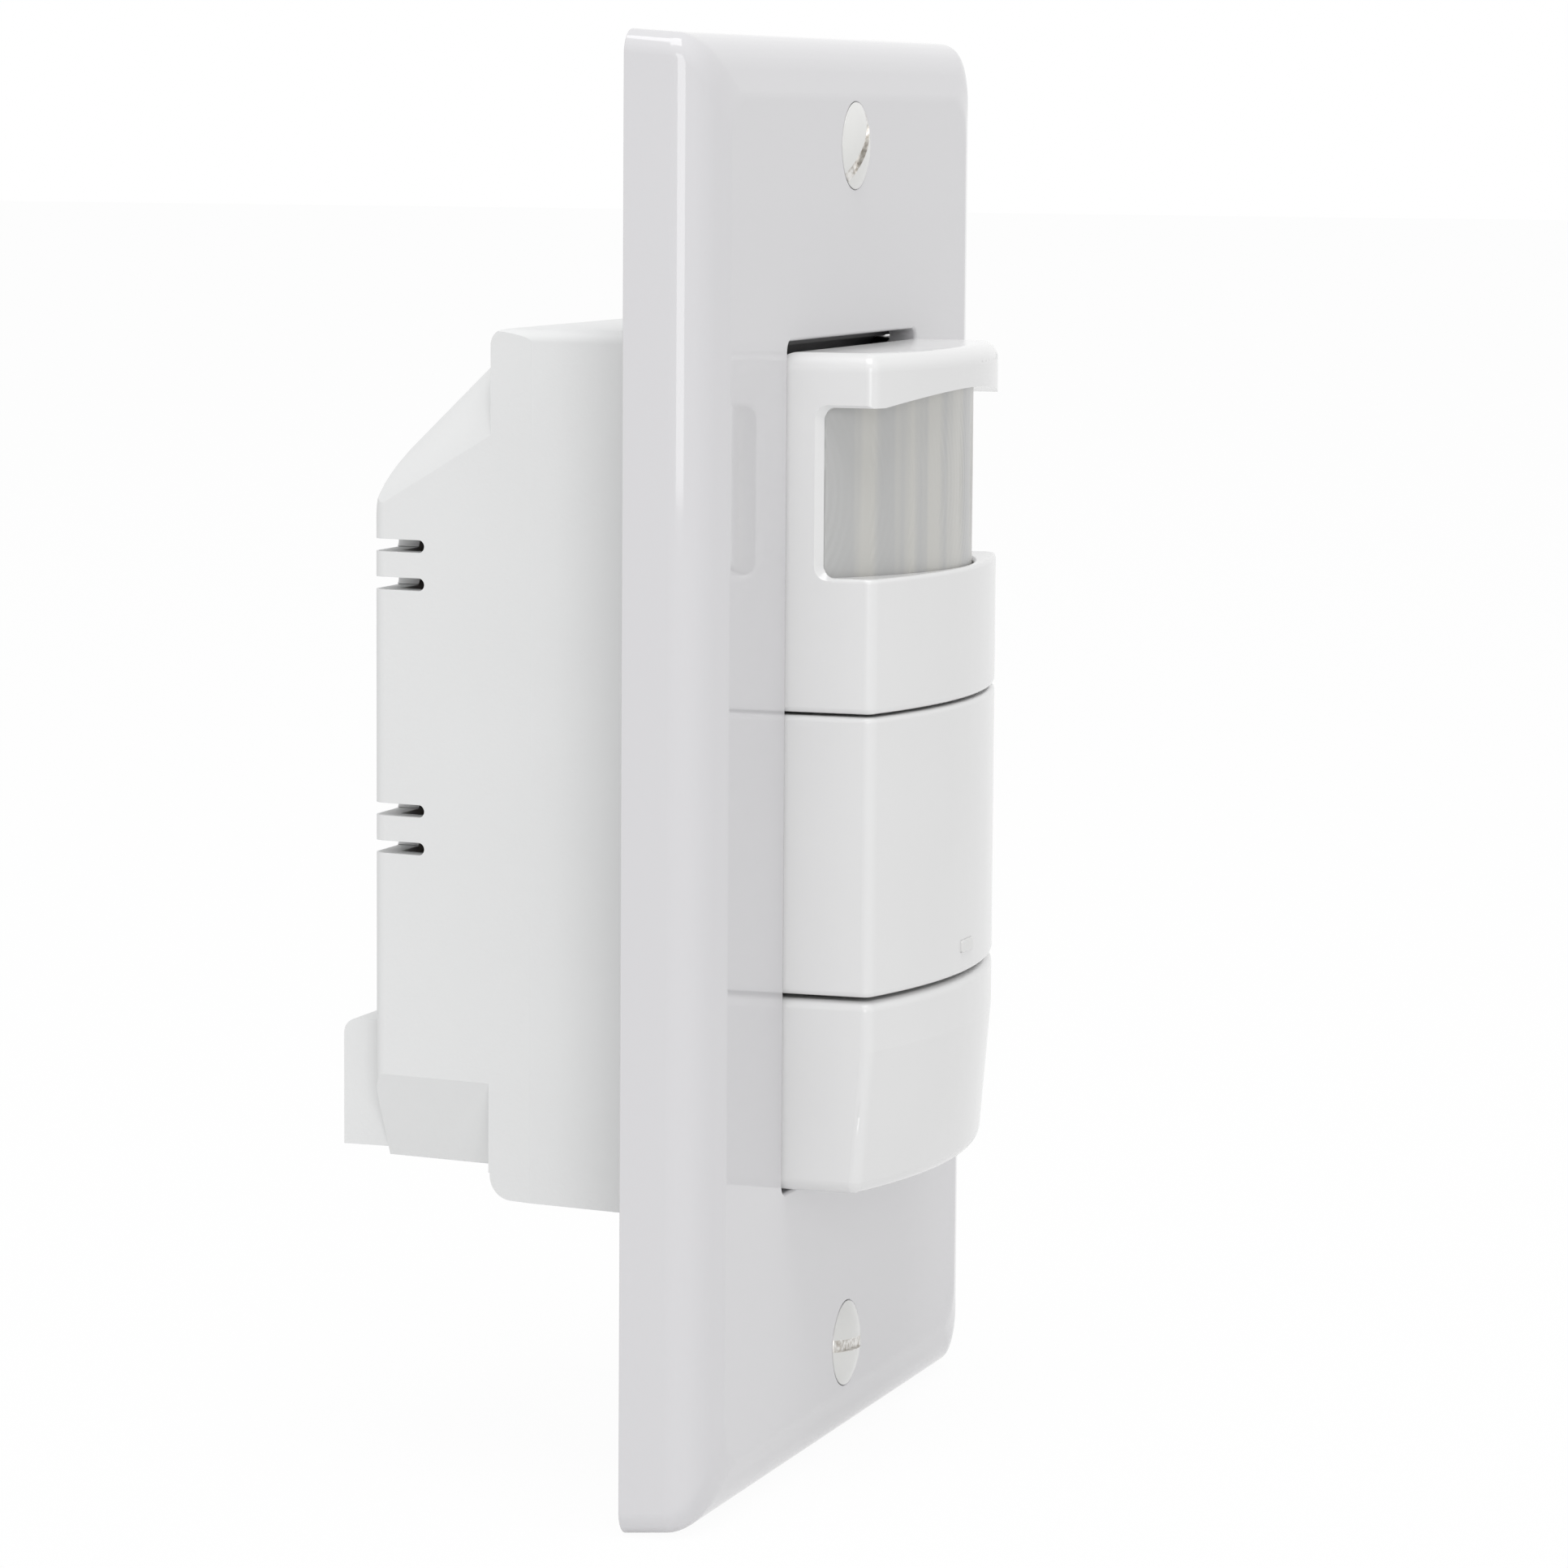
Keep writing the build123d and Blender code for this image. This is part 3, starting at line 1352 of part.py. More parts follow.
# Canister capacitors with the groove that is rolled in near the foot
with BuildPart() as canister_capacitors:
    with BuildSketch(front_plane(power_board_back)):
        with Locations(*canister_places):
            Circle(canister_radius)
    extrude(amount=-canister_depth)
    fillet(canister_capacitors.edges().group_by(Axis.Y)[-1], canister_groove)
    with BuildSketch(front_plane(power_board_back + canister_groove_up)):
        with Locations(*canister_places):
            Circle(canister_radius + overrun)
            Circle(canister_radius - canister_groove, mode=Mode.SUBTRACT)
    extrude(amount=-canister_groove_width, mode=Mode.SUBTRACT)
    add(add_leads(canister_lead_places))
canister_capacitors.part.label = "canister_capacitors"
export_step(canister_capacitors.part, "parts/canister_capacitors.step")

# Varistor, a coated disc that stands on two leads
with BuildPart() as varistor:
    varistor_middle = power_board_back + varistor_stand + varistor_radius
    with BuildSketch(Plane.XY.offset(varistor_z - varistor_thickness / 2)):
        with Locations((varistor_x, varistor_middle)):
            Circle(varistor_radius)
    extrude(amount=varistor_thickness)
    fillet(varistor.edges(), varistor_thickness / 3)
    with BuildSketch(front_plane(varistor_middle)):
        with Locations(*varistor_lead_places):
            Circle(lead_radius)
    extrude(amount=varistor_middle - lead_start)
varistor.part.label = "varistor"
export_step(varistor.part, "parts/varistor.step")

with BuildPart() as fuse:
    with BuildSketch(front_plane(power_board_back)):
        with Locations((fuse_x, fuse_z)):
            RectangleRounded(fuse_width, fuse_height, fuse_radius)
    extrude(amount=-fuse_depth)
    add(add_leads(fuse_lead_places))
fuse.part.label = "fuse"
export_step(fuse.part, "parts/fuse.step")

# Cage clamps, each a brass block with a wire hole, a screw hole and a leg to the power board
with BuildPart() as terminal_clamps:
    with BuildSketch(front_plane(clamp_back)):
        with Locations(*[(x, (clamp_bottom + clamp_top) / 2) for x in terminal_xs]):
            Rectangle(clamp_width, clamp_height)
        with Locations(*[(x, wire_z) for x in terminal_xs]):
            Circle(wire_radius, mode=Mode.SUBTRACT)
    extrude(amount=clamp_length)
    with BuildSketch(Plane.XY.offset(clamp_bottom - overrun)):
        with Locations(*[(x, clamp_middle) for x in terminal_xs]):
            Circle(terminal_screw_radius + tapped_clearance)
    extrude(amount=wire_up + overrun, mode=Mode.SUBTRACT)
    with BuildSketch(front_plane(clamp_front)):
        with Locations(*clamp_leg_places):
            Rectangle(clamp_leg_width, clamp_leg_thickness)
    extrude(amount=clamp_front - lead_start)
terminal_clamps.part.label = "terminal_clamps"
export_step(terminal_clamps.part, "parts/terminal_clamps.step")

# Terminal screws, turned from below the block
with BuildPart() as terminal_screws:
    with BuildSketch(Plane.XY.offset(clamp_bottom - terminal_head_height)):
        with Locations(*[(x, clamp_middle) for x in terminal_xs]):
            Circle(terminal_head_radius)
    extrude(amount=terminal_head_height)
    with BuildSketch(Plane.XY.offset(clamp_bottom)):
        with Locations(*[(x, clamp_middle) for x in terminal_xs]):
            Circle(terminal_screw_radius)
    extrude(amount=terminal_screw_reach)
    with BuildSketch(Plane.XY.offset(clamp_bottom - terminal_head_height)):
        with Locations(*[(x, clamp_middle) for x in terminal_xs]):
            Rectangle(2 * terminal_head_radius, terminal_slot_width)
    extrude(amount=terminal_slot_depth, mode=Mode.SUBTRACT)
terminal_screws.part.label = "terminal_screws"
export_step(terminal_screws.part, "parts/terminal_screws.step")
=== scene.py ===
from math import cos, radians, sin

import bmesh
import bpy
import numpy as np
from mathutils import Matrix, Vector


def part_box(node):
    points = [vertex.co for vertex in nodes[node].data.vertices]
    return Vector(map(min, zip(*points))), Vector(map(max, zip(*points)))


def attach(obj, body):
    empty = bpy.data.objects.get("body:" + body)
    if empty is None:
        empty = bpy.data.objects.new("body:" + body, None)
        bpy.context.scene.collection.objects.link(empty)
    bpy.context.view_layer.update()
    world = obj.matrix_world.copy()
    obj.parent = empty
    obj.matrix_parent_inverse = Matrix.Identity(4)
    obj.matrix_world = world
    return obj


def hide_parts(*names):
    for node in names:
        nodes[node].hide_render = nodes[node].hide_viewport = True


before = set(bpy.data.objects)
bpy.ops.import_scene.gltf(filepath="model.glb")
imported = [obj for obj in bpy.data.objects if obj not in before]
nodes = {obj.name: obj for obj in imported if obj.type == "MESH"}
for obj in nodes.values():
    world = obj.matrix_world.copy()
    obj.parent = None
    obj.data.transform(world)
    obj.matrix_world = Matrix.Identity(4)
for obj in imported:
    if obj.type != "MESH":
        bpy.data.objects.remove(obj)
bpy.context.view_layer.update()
plate_low, plate_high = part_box("wall_plate")

# The studio: a white floor under the foot of the plate, an even white room and two soft boxes,
# one overhead and one at the near side, where the camera stands too
camera_place = Vector((-0.44523, -0.15192, 0.05067))
camera_turn = radians(-71.29)
camera_dip = radians(6.503)
camera_roll = radians(0.397)
look = Vector((-sin(camera_turn) * cos(camera_dip), cos(camera_turn) * cos(camera_dip),
               -sin(camera_dip)))
level_right = Vector((cos(camera_turn), sin(camera_turn), 0))
level_up = level_right.cross(look)
right = cos(camera_roll) * level_right + sin(camera_roll) * level_up
up = cos(camera_roll) * level_up - sin(camera_roll) * level_right
camera_data = bpy.data.cameras.new("camera")
camera_data.lens = 134.4
camera_data.sensor_width = 36
camera_data.clip_start = 0.01
camera = bpy.data.objects.new("camera", camera_data)
camera_axes = Matrix((right, up, -look)).transposed().to_4x4()
camera.matrix_world = Matrix.Translation(camera_place) @ camera_axes
bpy.context.scene.collection.objects.link(camera)
bpy.context.scene.camera = camera
bpy.context.scene.view_settings.view_transform = "Standard"


def soft_box(name, place, target, width, height, power):
    """A square lamp at a place, facing its target."""
    lamp = bpy.data.lights.new(name, "AREA")
    lamp.shape = "RECTANGLE"
    lamp.size, lamp.size_y, lamp.energy = width, height, power
    box = bpy.data.objects.new(name, lamp)
    box.location = place
    box.rotation_euler = (Vector(target) - Vector(place)).to_track_quat("-Z", "Y").to_euler()
    bpy.context.scene.collection.objects.link(box)


middle = (0, 0, 0)
soft_box("top_box", place=(-0.3, -0.15, 1.2), target=middle, width=0.8, height=0.8, power=7.6)
soft_box("side_box", place=(-0.9, -0.45, 0.2), target=middle, width=0.4, height=0.5, power=1.85)


def seen_rays(tree):
    """One for the rays that look: straight from the camera, off gloss or through glass."""
    path = tree.nodes.new("ShaderNodeLightPath")
    total = path.outputs["Is Camera Ray"]
    for kind in ("Is Glossy Ray", "Is Transmission Ray"):
        either = tree.nodes.new("ShaderNodeMath")
        either.operation = "MAXIMUM"
        tree.links.new(total, either.inputs[0])
        tree.links.new(path.outputs[kind], either.inputs[1])
        total = either.outputs[0]
    return total


white = (1, 1, 1, 1)
room_light, room_shown = 0.62, 1.0
world = bpy.data.worlds.new("white_room")
bpy.context.scene.world = world
world.use_nodes = True
links = world.node_tree.links
room = world.node_tree.nodes["Background"]
seen = world.node_tree.nodes.new("ShaderNodeBackground")
choice = world.node_tree.nodes.new("ShaderNodeMixShader")
room.inputs["Color"].default_value = white
room.inputs["Strength"].default_value = room_light
seen.inputs["Color"].default_value = white
seen.inputs["Strength"].default_value = room_shown
links.new(seen_rays(world.node_tree), choice.inputs[0])
links.new(room.outputs[0], choice.inputs[1])
links.new(seen.outputs[0], choice.inputs[2])
links.new(choice.outputs[0], world.node_tree.nodes["World Output"].inputs["Surface"])

floor_reach = 6.0
floor_grey = (0.88, 0.88, 0.88, 1)
floor_glow_share = 0.96
floor_mesh = bpy.data.meshes.new("floor")
floor_signs = ((-1, -1), (1, -1), (1, 1), (-1, 1))
floor_mesh.from_pydata(
    [(x * floor_reach, y * floor_reach, plate_low.z) for x, y in floor_signs], [], [(0, 1, 2, 3)])
floor = bpy.data.objects.new("floor", floor_mesh)
bpy.context.scene.collection.objects.link(floor)
paper = bpy.data.materials.new("studio_paper")
paper.use_nodes = True
tree = paper.node_tree
tree.nodes.clear()
dull = tree.nodes.new("ShaderNodeBsdfDiffuse")
glow = tree.nodes.new("ShaderNodeEmission")
shown = tree.nodes.new("ShaderNodeMixShader")
share = tree.nodes.new("ShaderNodeMath")
out = tree.nodes.new("ShaderNodeOutputMaterial")
dull.inputs["Color"].default_value = floor_grey
share.operation = "MULTIPLY"
share.inputs[1].default_value = floor_glow_share
tree.links.new(seen_rays(tree), share.inputs[0])
tree.links.new(share.outputs[0], shown.inputs[0])
tree.links.new(dull.outputs[0], shown.inputs[1])
tree.links.new(glow.outputs[0], shown.inputs[2])
tree.links.new(shown.outputs[0], out.inputs["Surface"])
floor_mesh.materials.append(paper)


# Mounting yoke, a strap stamped from steel sheet and zinc plated, to which all the rest is screwed;
# the rolling leaves fine upright lines under the zinc
def plated(name, colour, roughness, stretch=(1, 1, 0.03), cloud=0.005, proud=0.0000015):
    """Bare or plated metal: a tone that drifts over a cloud size, and fine lines drawn out one
    way by the stretch, which change the gloss and stand a little proud."""
    lines_per_metre = 3000
    darkest, palest = 0.8, 1.15
    smoothest, roughest = 0.7, 1.3
    finish = bpy.data.materials.new(name)
    finish.use_nodes = True
    tree = finish.node_tree
    shader = tree.nodes["Principled BSDF"]
    shader.inputs["Metallic"].default_value = 1
    place = tree.nodes.new("ShaderNodeTexCoord")
    drawn = tree.nodes.new("ShaderNodeMapping")
    drawn.inputs["Scale"].default_value = stretch
    lines = tree.nodes.new("ShaderNodeTexNoise")
    lines.inputs["Scale"].default_value = lines_per_metre
    lines.inputs["Detail"].default_value = 3
    drift = tree.nodes.new("ShaderNodeTexNoise")
    drift.inputs["Scale"].default_value = 1 / cloud
    drift.inputs["Detail"].default_value = 4
    tint = tree.nodes.new("ShaderNodeMix")
    tint.data_type = "RGBA"
    tint.inputs["A"].default_value = (*[c * darkest for c in colour], 1)
    tint.inputs["B"].default_value = (*[min(1, c * palest) for c in colour], 1)
    gloss = tree.nodes.new("ShaderNodeMapRange")
    gloss.inputs["To Min"].default_value = roughness * smoothest
    gloss.inputs["To Max"].default_value = roughness * roughest
    bump = tree.nodes.new("ShaderNodeBump")
    bump.inputs["Strength"].default_value = 1
    bump.inputs["Distance"].default_value = proud
    tree.links.new(place.outputs["Object"], drawn.inputs["Vector"])
    tree.links.new(drawn.outputs["Vector"], lines.inputs["Vector"])
    tree.links.new(place.outputs["Object"], drift.inputs["Vector"])
    tree.links.new(drift.outputs["Fac"], tint.inputs["Factor"])
    tree.links.new(tint.outputs["Result"], shader.inputs["Base Color"])
    tree.links.new(lines.outputs["Fac"], gloss.inputs["Value"])
    tree.links.new(gloss.outputs["Result"], shader.inputs["Roughness"])
    tree.links.new(lines.outputs["Fac"], bump.inputs["Height"])
    tree.links.new(bump.outputs["Normal"], shader.inputs["Normal"])
    return finish


def finish_nodes(finish, *names):
    """The finish goes into every material slot of these CAD nodes."""
    for name in names:
        for slot in nodes[name].material_slots:
            slot.material = finish


finish_nodes(plated("yoke_zinc", colour=(0.52, 0.53, 0.55), roughness=0.4), "mounting_yoke")


# Rear housing, moulded in white plastic with a fine matt texture, vented at its rear corners and
# screwed to the yoke from the front
def moulded(name, colour, roughness, grain=0.0004, height=0.000004, mottle=0.02, cloud=0.012):
    """Moulded plastic: a colour that drifts a little over a cloud size, a roughness that drifts
    with it, and a fine skin of bumps one grain across."""
    smoothest, roughest = 0.88, 1.12
    finish = bpy.data.materials.new(name)
    finish.use_nodes = True
    tree = finish.node_tree
    shader = tree.nodes["Principled BSDF"]
    place = tree.nodes.new("ShaderNodeTexCoord")
    drift = tree.nodes.new("ShaderNodeTexNoise")
    drift.inputs["Scale"].default_value = 1 / cloud
    drift.inputs["Detail"].default_value = 3
    tint = tree.nodes.new("ShaderNodeMix")
    tint.data_type = "RGBA"
    tint.inputs["A"].default_value = (*[c * (1 - mottle) for c in colour], 1)
    tint.inputs["B"].default_value = (*[min(1, c * (1 + mottle)) for c in colour], 1)
    gloss = tree.nodes.new("ShaderNodeMapRange")
    gloss.inputs["To Min"].default_value = roughness * smoothest
    gloss.inputs["To Max"].default_value = roughness * roughest
    skin = tree.nodes.new("ShaderNodeTexNoise")
    skin.inputs["Scale"].default_value = 1 / grain
    skin.inputs["Detail"].default_value = 2
    bump = tree.nodes.new("ShaderNodeBump")
    bump.inputs["Strength"].default_value = 1
    bump.inputs["Distance"].default_value = height
    tree.links.new(place.outputs["Object"], drift.inputs["Vector"])
    tree.links.new(place.outputs["Object"], skin.inputs["Vector"])
    tree.links.new(drift.outputs["Fac"], tint.inputs["Factor"])
    tree.links.new(tint.outputs["Result"], shader.inputs["Base Color"])
    tree.links.new(drift.outputs["Fac"], gloss.inputs["Value"])
    tree.links.new(gloss.outputs["Result"], shader.inputs["Roughness"])
    tree.links.new(skin.outputs["Fac"], bump.inputs["Height"])
    tree.links.new(bump.outputs["Normal"], shader.inputs["Normal"])
    return finish


housing_white = moulded("housing_white", colour=(0.77, 0.775, 0.775), roughness=0.5,
                        grain=0.00035, height=0.000012)
finish_nodes(housing_white, "rear_housing")


# Power board, brown laminate with its tracks under a clear coat. The relays, capacitors, surge
# disc and fuse are soldered to it, and the wires go into cage clamps at its foot
def laminate(name, field, track, cell=0.0017, line=0.0003):
    """A board seen from its face: long narrow strips two shades apart, with paler copper tracks
    between them that jog from row to row."""
    strip_length = cell * 7.3
    shade = 0.94
    finish = moulded(name, field, roughness=0.32, grain=0.0003, height=0.000002, mottle=0.05,
                     cloud=0.003)
    tree = finish.node_tree
    shader = tree.nodes["Principled BSDF"]
    place = tree.nodes.new("ShaderNodeTexCoord")
    upright = tree.nodes.new("ShaderNodeMapping")
    upright.inputs["Rotation"].default_value = (radians(-90), 0, 0)
    runs = tree.nodes.new("ShaderNodeTexBrick")
    runs.inputs["Scale"].default_value = 1
    runs.offset, runs.offset_frequency = 0.31, 3
    runs.inputs["Brick Width"].default_value = strip_length
    runs.inputs["Row Height"].default_value = cell
    runs.inputs["Mortar Size"].default_value = line / 2
    runs.inputs["Mortar Smooth"].default_value = 0.2
    runs.inputs["Color1"].default_value = (*field, 1)
    runs.inputs["Color2"].default_value = (*[c * shade for c in field], 1)
    runs.inputs["Mortar"].default_value = (*track, 1)
    tree.links.new(place.outputs["Object"], upright.inputs["Vector"])
    tree.links.new(upright.outputs["Vector"], runs.inputs["Vector"])
    tree.links.new(runs.outputs["Color"], shader.inputs["Base Color"])
    return finish


finish_nodes(laminate("power_laminate", field=(0.4, 0.27, 0.14), track=(0.48, 0.35, 0.2)),
             "power_board")
for name, colour, roughness, grain, height, mottle, cloud, carriers in (
        ("relay_case", (0.3, 0.2, 0.13), 0.42, 0.0003, 0.000006, 0.06, 0.004, ["relay_a", "relay_b"]),
        ("film_case", (0.7, 0.5, 0.09), 0.35, 0.0004, 0.000004, 0.05, 0.003, ["film_capacitor"]),
        ("dipped_coat", (0.06, 0.2, 0.5), 0.28, 0.0012, 0.00002, 0.08, 0.002, ["varistor"]),
        ("fuse_case", (0.2, 0.1, 0.05), 0.35, 0.0003, 0.000003, 0.08, 0.002, ["fuse"])):
    finish_nodes(moulded(name, colour, roughness, grain, height, mottle, cloud), *carriers)
finish_nodes(plated("can_aluminium", colour=(0.72, 0.72, 0.74), roughness=0.3, stretch=(1, 0.03, 1)),
             "canister_capacitors", "pir_sensor_base", "pir_sensor_can")
clamp_brass = plated("clamp_brass", colour=(0.72, 0.55, 0.26), roughness=0.3,
                     stretch=(1, 0.05, 1), cloud=0.002)
finish_nodes(clamp_brass, "terminal_clamps", "terminal_screws")


# Front frame, a tray moulded in plastic, clipped to the yoke. Its near-black colour is painted shade,
# so that the gaps above the hood and between the buttons read dark. It carries the sensor board,
# with its sensors, two button switches, two trimmers and a bank of four sliders
# near-black painted shade on the frame, seen through the gaps
finish_nodes(moulded("frame_black", colour=(0.02, 0.02, 0.022), roughness=0.45), "front_frame")
finish_nodes(laminate("sensor_laminate", field=(0.02, 0.15, 0.06), track=(0.035, 0.21, 0.09),
                      cell=0.0013, line=0.00025), "sensor_board")
for name, colour, roughness, grain, carriers in (
        ("sensor_pane", (0.03, 0.03, 0.035), 0.12, 0.002, ["pir_sensor_window"]),
        ("clear_resin", (0.09, 0.09, 0.11), 0.15, 0.001, ["light_sensor"]),
        ("lamp_resin", (0.86, 0.82, 0.55), 0.18, 0.001, ["status_led"]),
        ("switch_black", (0.03, 0.03, 0.03), 0.4, 0.0002,
         ["upper_tact_switch", "lower_tact_switch", "upper_tact_plunger", "lower_tact_plunger",
          "control_chip", "board_header"]),
        ("trimmer_blue", (0.06, 0.17, 0.45), 0.38, 0.0003, ["time_trimmer_body", "light_trimmer_body"]),
        ("trimmer_white", (0.8, 0.8, 0.79), 0.4, 0.0003,
         ["time_trimmer_rotor", "light_trimmer_rotor", *[f"option_slider_{i}" for i in range(1, 5)]]),
        ("slider_red", (0.5, 0.05, 0.04), 0.4, 0.0003, ["option_switch_body"])):
    finish = moulded(name, colour, roughness, grain, height=0.000003, mottle=0.06, cloud=0.002)
    finish_nodes(finish, *carriers)


# Screws of the body, turned from steel wire and plated: four hold the housing to the yoke, two
# hold the sensor board, and a green one takes the ground lead
lathe_lines = (1, 0.1, 1)
for name, colour, roughness, carriers in (
        ("turned_steel", (0.5, 0.5, 0.5), 0.32, ["housing_screws", "board_screws"]),
        ("ground_green", (0.03, 0.25, 0.09), 0.34, ["ground_screw"])):
    finish_nodes(plated(name, colour, roughness, stretch=lathe_lines, cloud=0.002), *carriers)


# Lens and its holder. The holder is a white channel on the board; the lens is a bent sheet of milky
# polyethylene pressed into upright facets with curved grooves, and its edges sit in the bezel
finish_nodes(moulded("holder_white", colour=(0.74, 0.74, 0.73), roughness=0.4), "lens_holder")


def lens_sheet(columns=260, rows=120):
    """A level path of leg, arc and leg, carried upward. Each facet is a shallow parabola across,
    so its edges are creases, and grooves that circle a point left of it die out to its right."""
    radius, half_width, crown = 23.4, 15.69, 15.75
    foot, top = 14.0, 29.6
    leg_end, leg_points = -7.6, 5
    facet_width, bulge, set_back = 4.3, 0.035, 0.06
    groove_step, groove_depth = 0.7, 0.045
    eye_left, eye_height = 9.0, 21.8
    fade_across, fade_up = 1.8, 6
    reach = np.arcsin(half_width / radius)
    swing = np.linspace(-reach, reach, columns)
    height = np.linspace(foot, top, rows)[:, None]
    facet = radius * (swing - swing[0]) / facet_width
    within = facet - np.floor(facet)
    from_edge = facet_width * within
    circle = np.hypot(from_edge + eye_left, height - eye_height)
    fade = np.exp(-from_edge / fade_across - ((height - eye_height) / fade_up) ** 2)
    groove = np.sin(2 * np.pi * circle / groove_step) * fade
    size = radius - set_back + bulge * (1 - (2 * within - 1) ** 2) + groove_depth * groove
    x = size * np.sin(swing)
    y = radius - crown - size * np.cos(swing)
    leg_x = np.full(leg_points, x[0, 0])
    leg_y = np.linspace(leg_end, y[0, 0], leg_points + 1)[:-1]
    left = np.stack([np.repeat(v[None], rows, 0) for v in (leg_x, leg_y)], 2)
    flat = np.concatenate((left, np.stack((x, y), 2), left[:, ::-1] * (-1, 1)), 1)
    return np.concatenate((flat, np.repeat(height, flat.shape[1], 1)[:, :, None]), 2)


def milk(name):
    """Milky plastic: a cool grey that turns warmer and paler in upright streaks, as the noise is
    drawn out along the height. The streaks stand a little proud."""
    streaks_per_metre = 420
    streak_height = 0.000008
    finish = moulded(name, colour=(0.5, 0.5, 0.475), roughness=0.3)
    tree = finish.node_tree
    shader = tree.nodes["Principled BSDF"]
    place = tree.nodes.new("ShaderNodeTexCoord")
    stretch = tree.nodes.new("ShaderNodeMapping")
    streaks = tree.nodes.new("ShaderNodeTexNoise")
    ramp = tree.nodes.new("ShaderNodeValToRGB")
    drawn = tree.nodes["Bump"]
    stretch.inputs["Scale"].default_value = (1, 1, 0.02)
    streaks.inputs["Scale"].default_value = streaks_per_metre
    streaks.inputs["Detail"].default_value = 2
    cool, warm = ramp.color_ramp.elements
    cool.position, cool.color = 0.42, (0.46, 0.462, 0.458, 1)
    warm.position, warm.color = 0.58, (0.53, 0.525, 0.5, 1)
    drawn.inputs["Distance"].default_value = streak_height
    tree.links.new(place.outputs["Object"], stretch.inputs["Vector"])
    tree.links.new(stretch.outputs["Vector"], streaks.inputs["Vector"])
    tree.links.new(streaks.outputs["Fac"], ramp.inputs["Fac"])
    tree.links.new(ramp.outputs["Color"], shader.inputs["Base Color"])
    tree.links.new(streaks.outputs["Fac"], drawn.inputs["Height"])
    return finish


millimetres = 1000


def grid_piece(name, grid, finish, body, around=True, along=False, capped=False):
    """Puts a grid of points (rows, columns, xyz) in millimetres into a mesh. Each cell is one
    quad; the columns close on themselves when around, the rows when along, and capped closes the
    first and last rows with one face each."""
    rows, columns = grid.shape[:2]
    index = np.arange(rows * columns).reshape(rows, columns)
    here = index if along else index[:-1]
    ahead = np.roll(index, -1, 0) if along else index[1:]
    if around:
        quads = (here, np.roll(here, -1, 1), np.roll(ahead, -1, 1), ahead)
    else:
        quads = (here[:, :-1], here[:, 1:], ahead[:, 1:], ahead[:, :-1])
    faces = np.stack(quads, 2).reshape(-1, 4).tolist()
    if capped:
        faces += [index[0][::-1].tolist(), index[-1].tolist()]
    mesh = bpy.data.meshes.new(name)
    mesh.from_pydata((grid.reshape(-1, 3) / millimetres).tolist(), [], faces)
    piece = bpy.data.objects.new(name, mesh)
    bpy.context.scene.collection.objects.link(piece)
    turn_outward(mesh)
    if finish:
        mesh.materials.append(finish)
        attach(piece, body)
    return piece


def turn_outward(mesh):
    """Merges points that lie on each other and turns every face outward."""
    same_place = 1e-7
    work = bmesh.new()
    work.from_mesh(mesh)
    bmesh.ops.remove_doubles(work, verts=work.verts, dist=same_place)
    bmesh.ops.recalc_face_normals(work, faces=work.faces)
    work.to_mesh(mesh)
    work.free()


lens = grid_piece("lens_sheet", lens_sheet(), milk("lens_milk"), "switch", around=False)
sheet_thickness, inward = 0.0006, -1
wall = lens.modifiers.new("sheet", "SOLIDIFY")
wall.thickness, wall.offset = sheet_thickness, inward
lens.data.shade_smooth()
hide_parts("fresnel_lens")


# Sensor bezel, the hood with the lens window and the band below it, moulded in one glossy piece
gloss_white = moulded("gloss_white", colour=(0.75, 0.75, 0.75), roughness=0.16,
                      grain=0.0015, height=0.000002)
finish_nodes(gloss_white, "sensor_bezel")


# Push buttons, glossy caps on the front frame's hooks. A milky bar that fits snugly in a small slot
# low in the upper one shows the status light
finish_nodes(gloss_white, "upper_button", "lower_button")


def frame_loops(half_x, half_z, radius, steps=6):
    """Rounded oblongs, one row for each half width, half height and corner radius: at each
    corner, the corner's centre plus the radius times a quarter of the unit circle."""
    swing = np.linspace(0, np.pi / 2, steps + 1)
    turn = (swing[None, :] + np.arange(4)[:, None] * np.pi / 2).ravel()
    sign_x = np.repeat((1, -1, -1, 1), steps + 1)
    sign_z = np.repeat((1, 1, -1, -1), steps + 1)
    half_x, half_z, radius = (np.atleast_1d(v)[:, None] for v in (half_x, half_z, radius))
    return np.stack((sign_x * (half_x - radius) + radius * np.cos(turn),
                     sign_z * (half_z - radius) + radius * np.sin(turn)), 2)


def soften(piece, angle=28):
    """Smooth shading with creases where two faces meet at more than the angle, and normals that
    follow the larger faces."""
    piece.data.shade_smooth()
    piece.data.set_sharp_from_angle(angle=radians(angle))
    even = piece.modifiers.new("even_shading", "WEIGHTED_NORMAL")
    even.keep_sharp = True


window_low, window_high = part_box("status_light_window")
snug_fit, bar_corner, back_chamfer = 0.04, 0.2, 0.15
to_half = millimetres / 2
half_x = to_half * (window_high - window_low).x + snug_fit
half_z = to_half * (window_high - window_low).z + snug_fit
middle_z = to_half * (window_high + window_low).z
back, front = millimetres * window_high.y, millimetres * window_low.y
front_round = np.array([0, 0.01, 0.03, 0.06])
round_in = np.array([back_chamfer, 0, *front_round])
level = np.array([back, back - back_chamfer, *(front + front_round[::-1])])
loops = frame_loops(half_x - round_in, half_z - round_in, np.full(len(round_in), bar_corner), 4)
depth = np.repeat(level[:, None], loops.shape[1], 1)
rows = np.stack((loops[:, :, 0], depth, loops[:, :, 1] + middle_z), 2)
light_milk = moulded("light_milk", colour=(0.73, 0.73, 0.72), roughness=0.3,
                     grain=0.0003, height=0.000003)
light = grid_piece("status_light_bar", rows, light_milk, "upper_button", capped=True)
soften(light)
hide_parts("status_light_window")


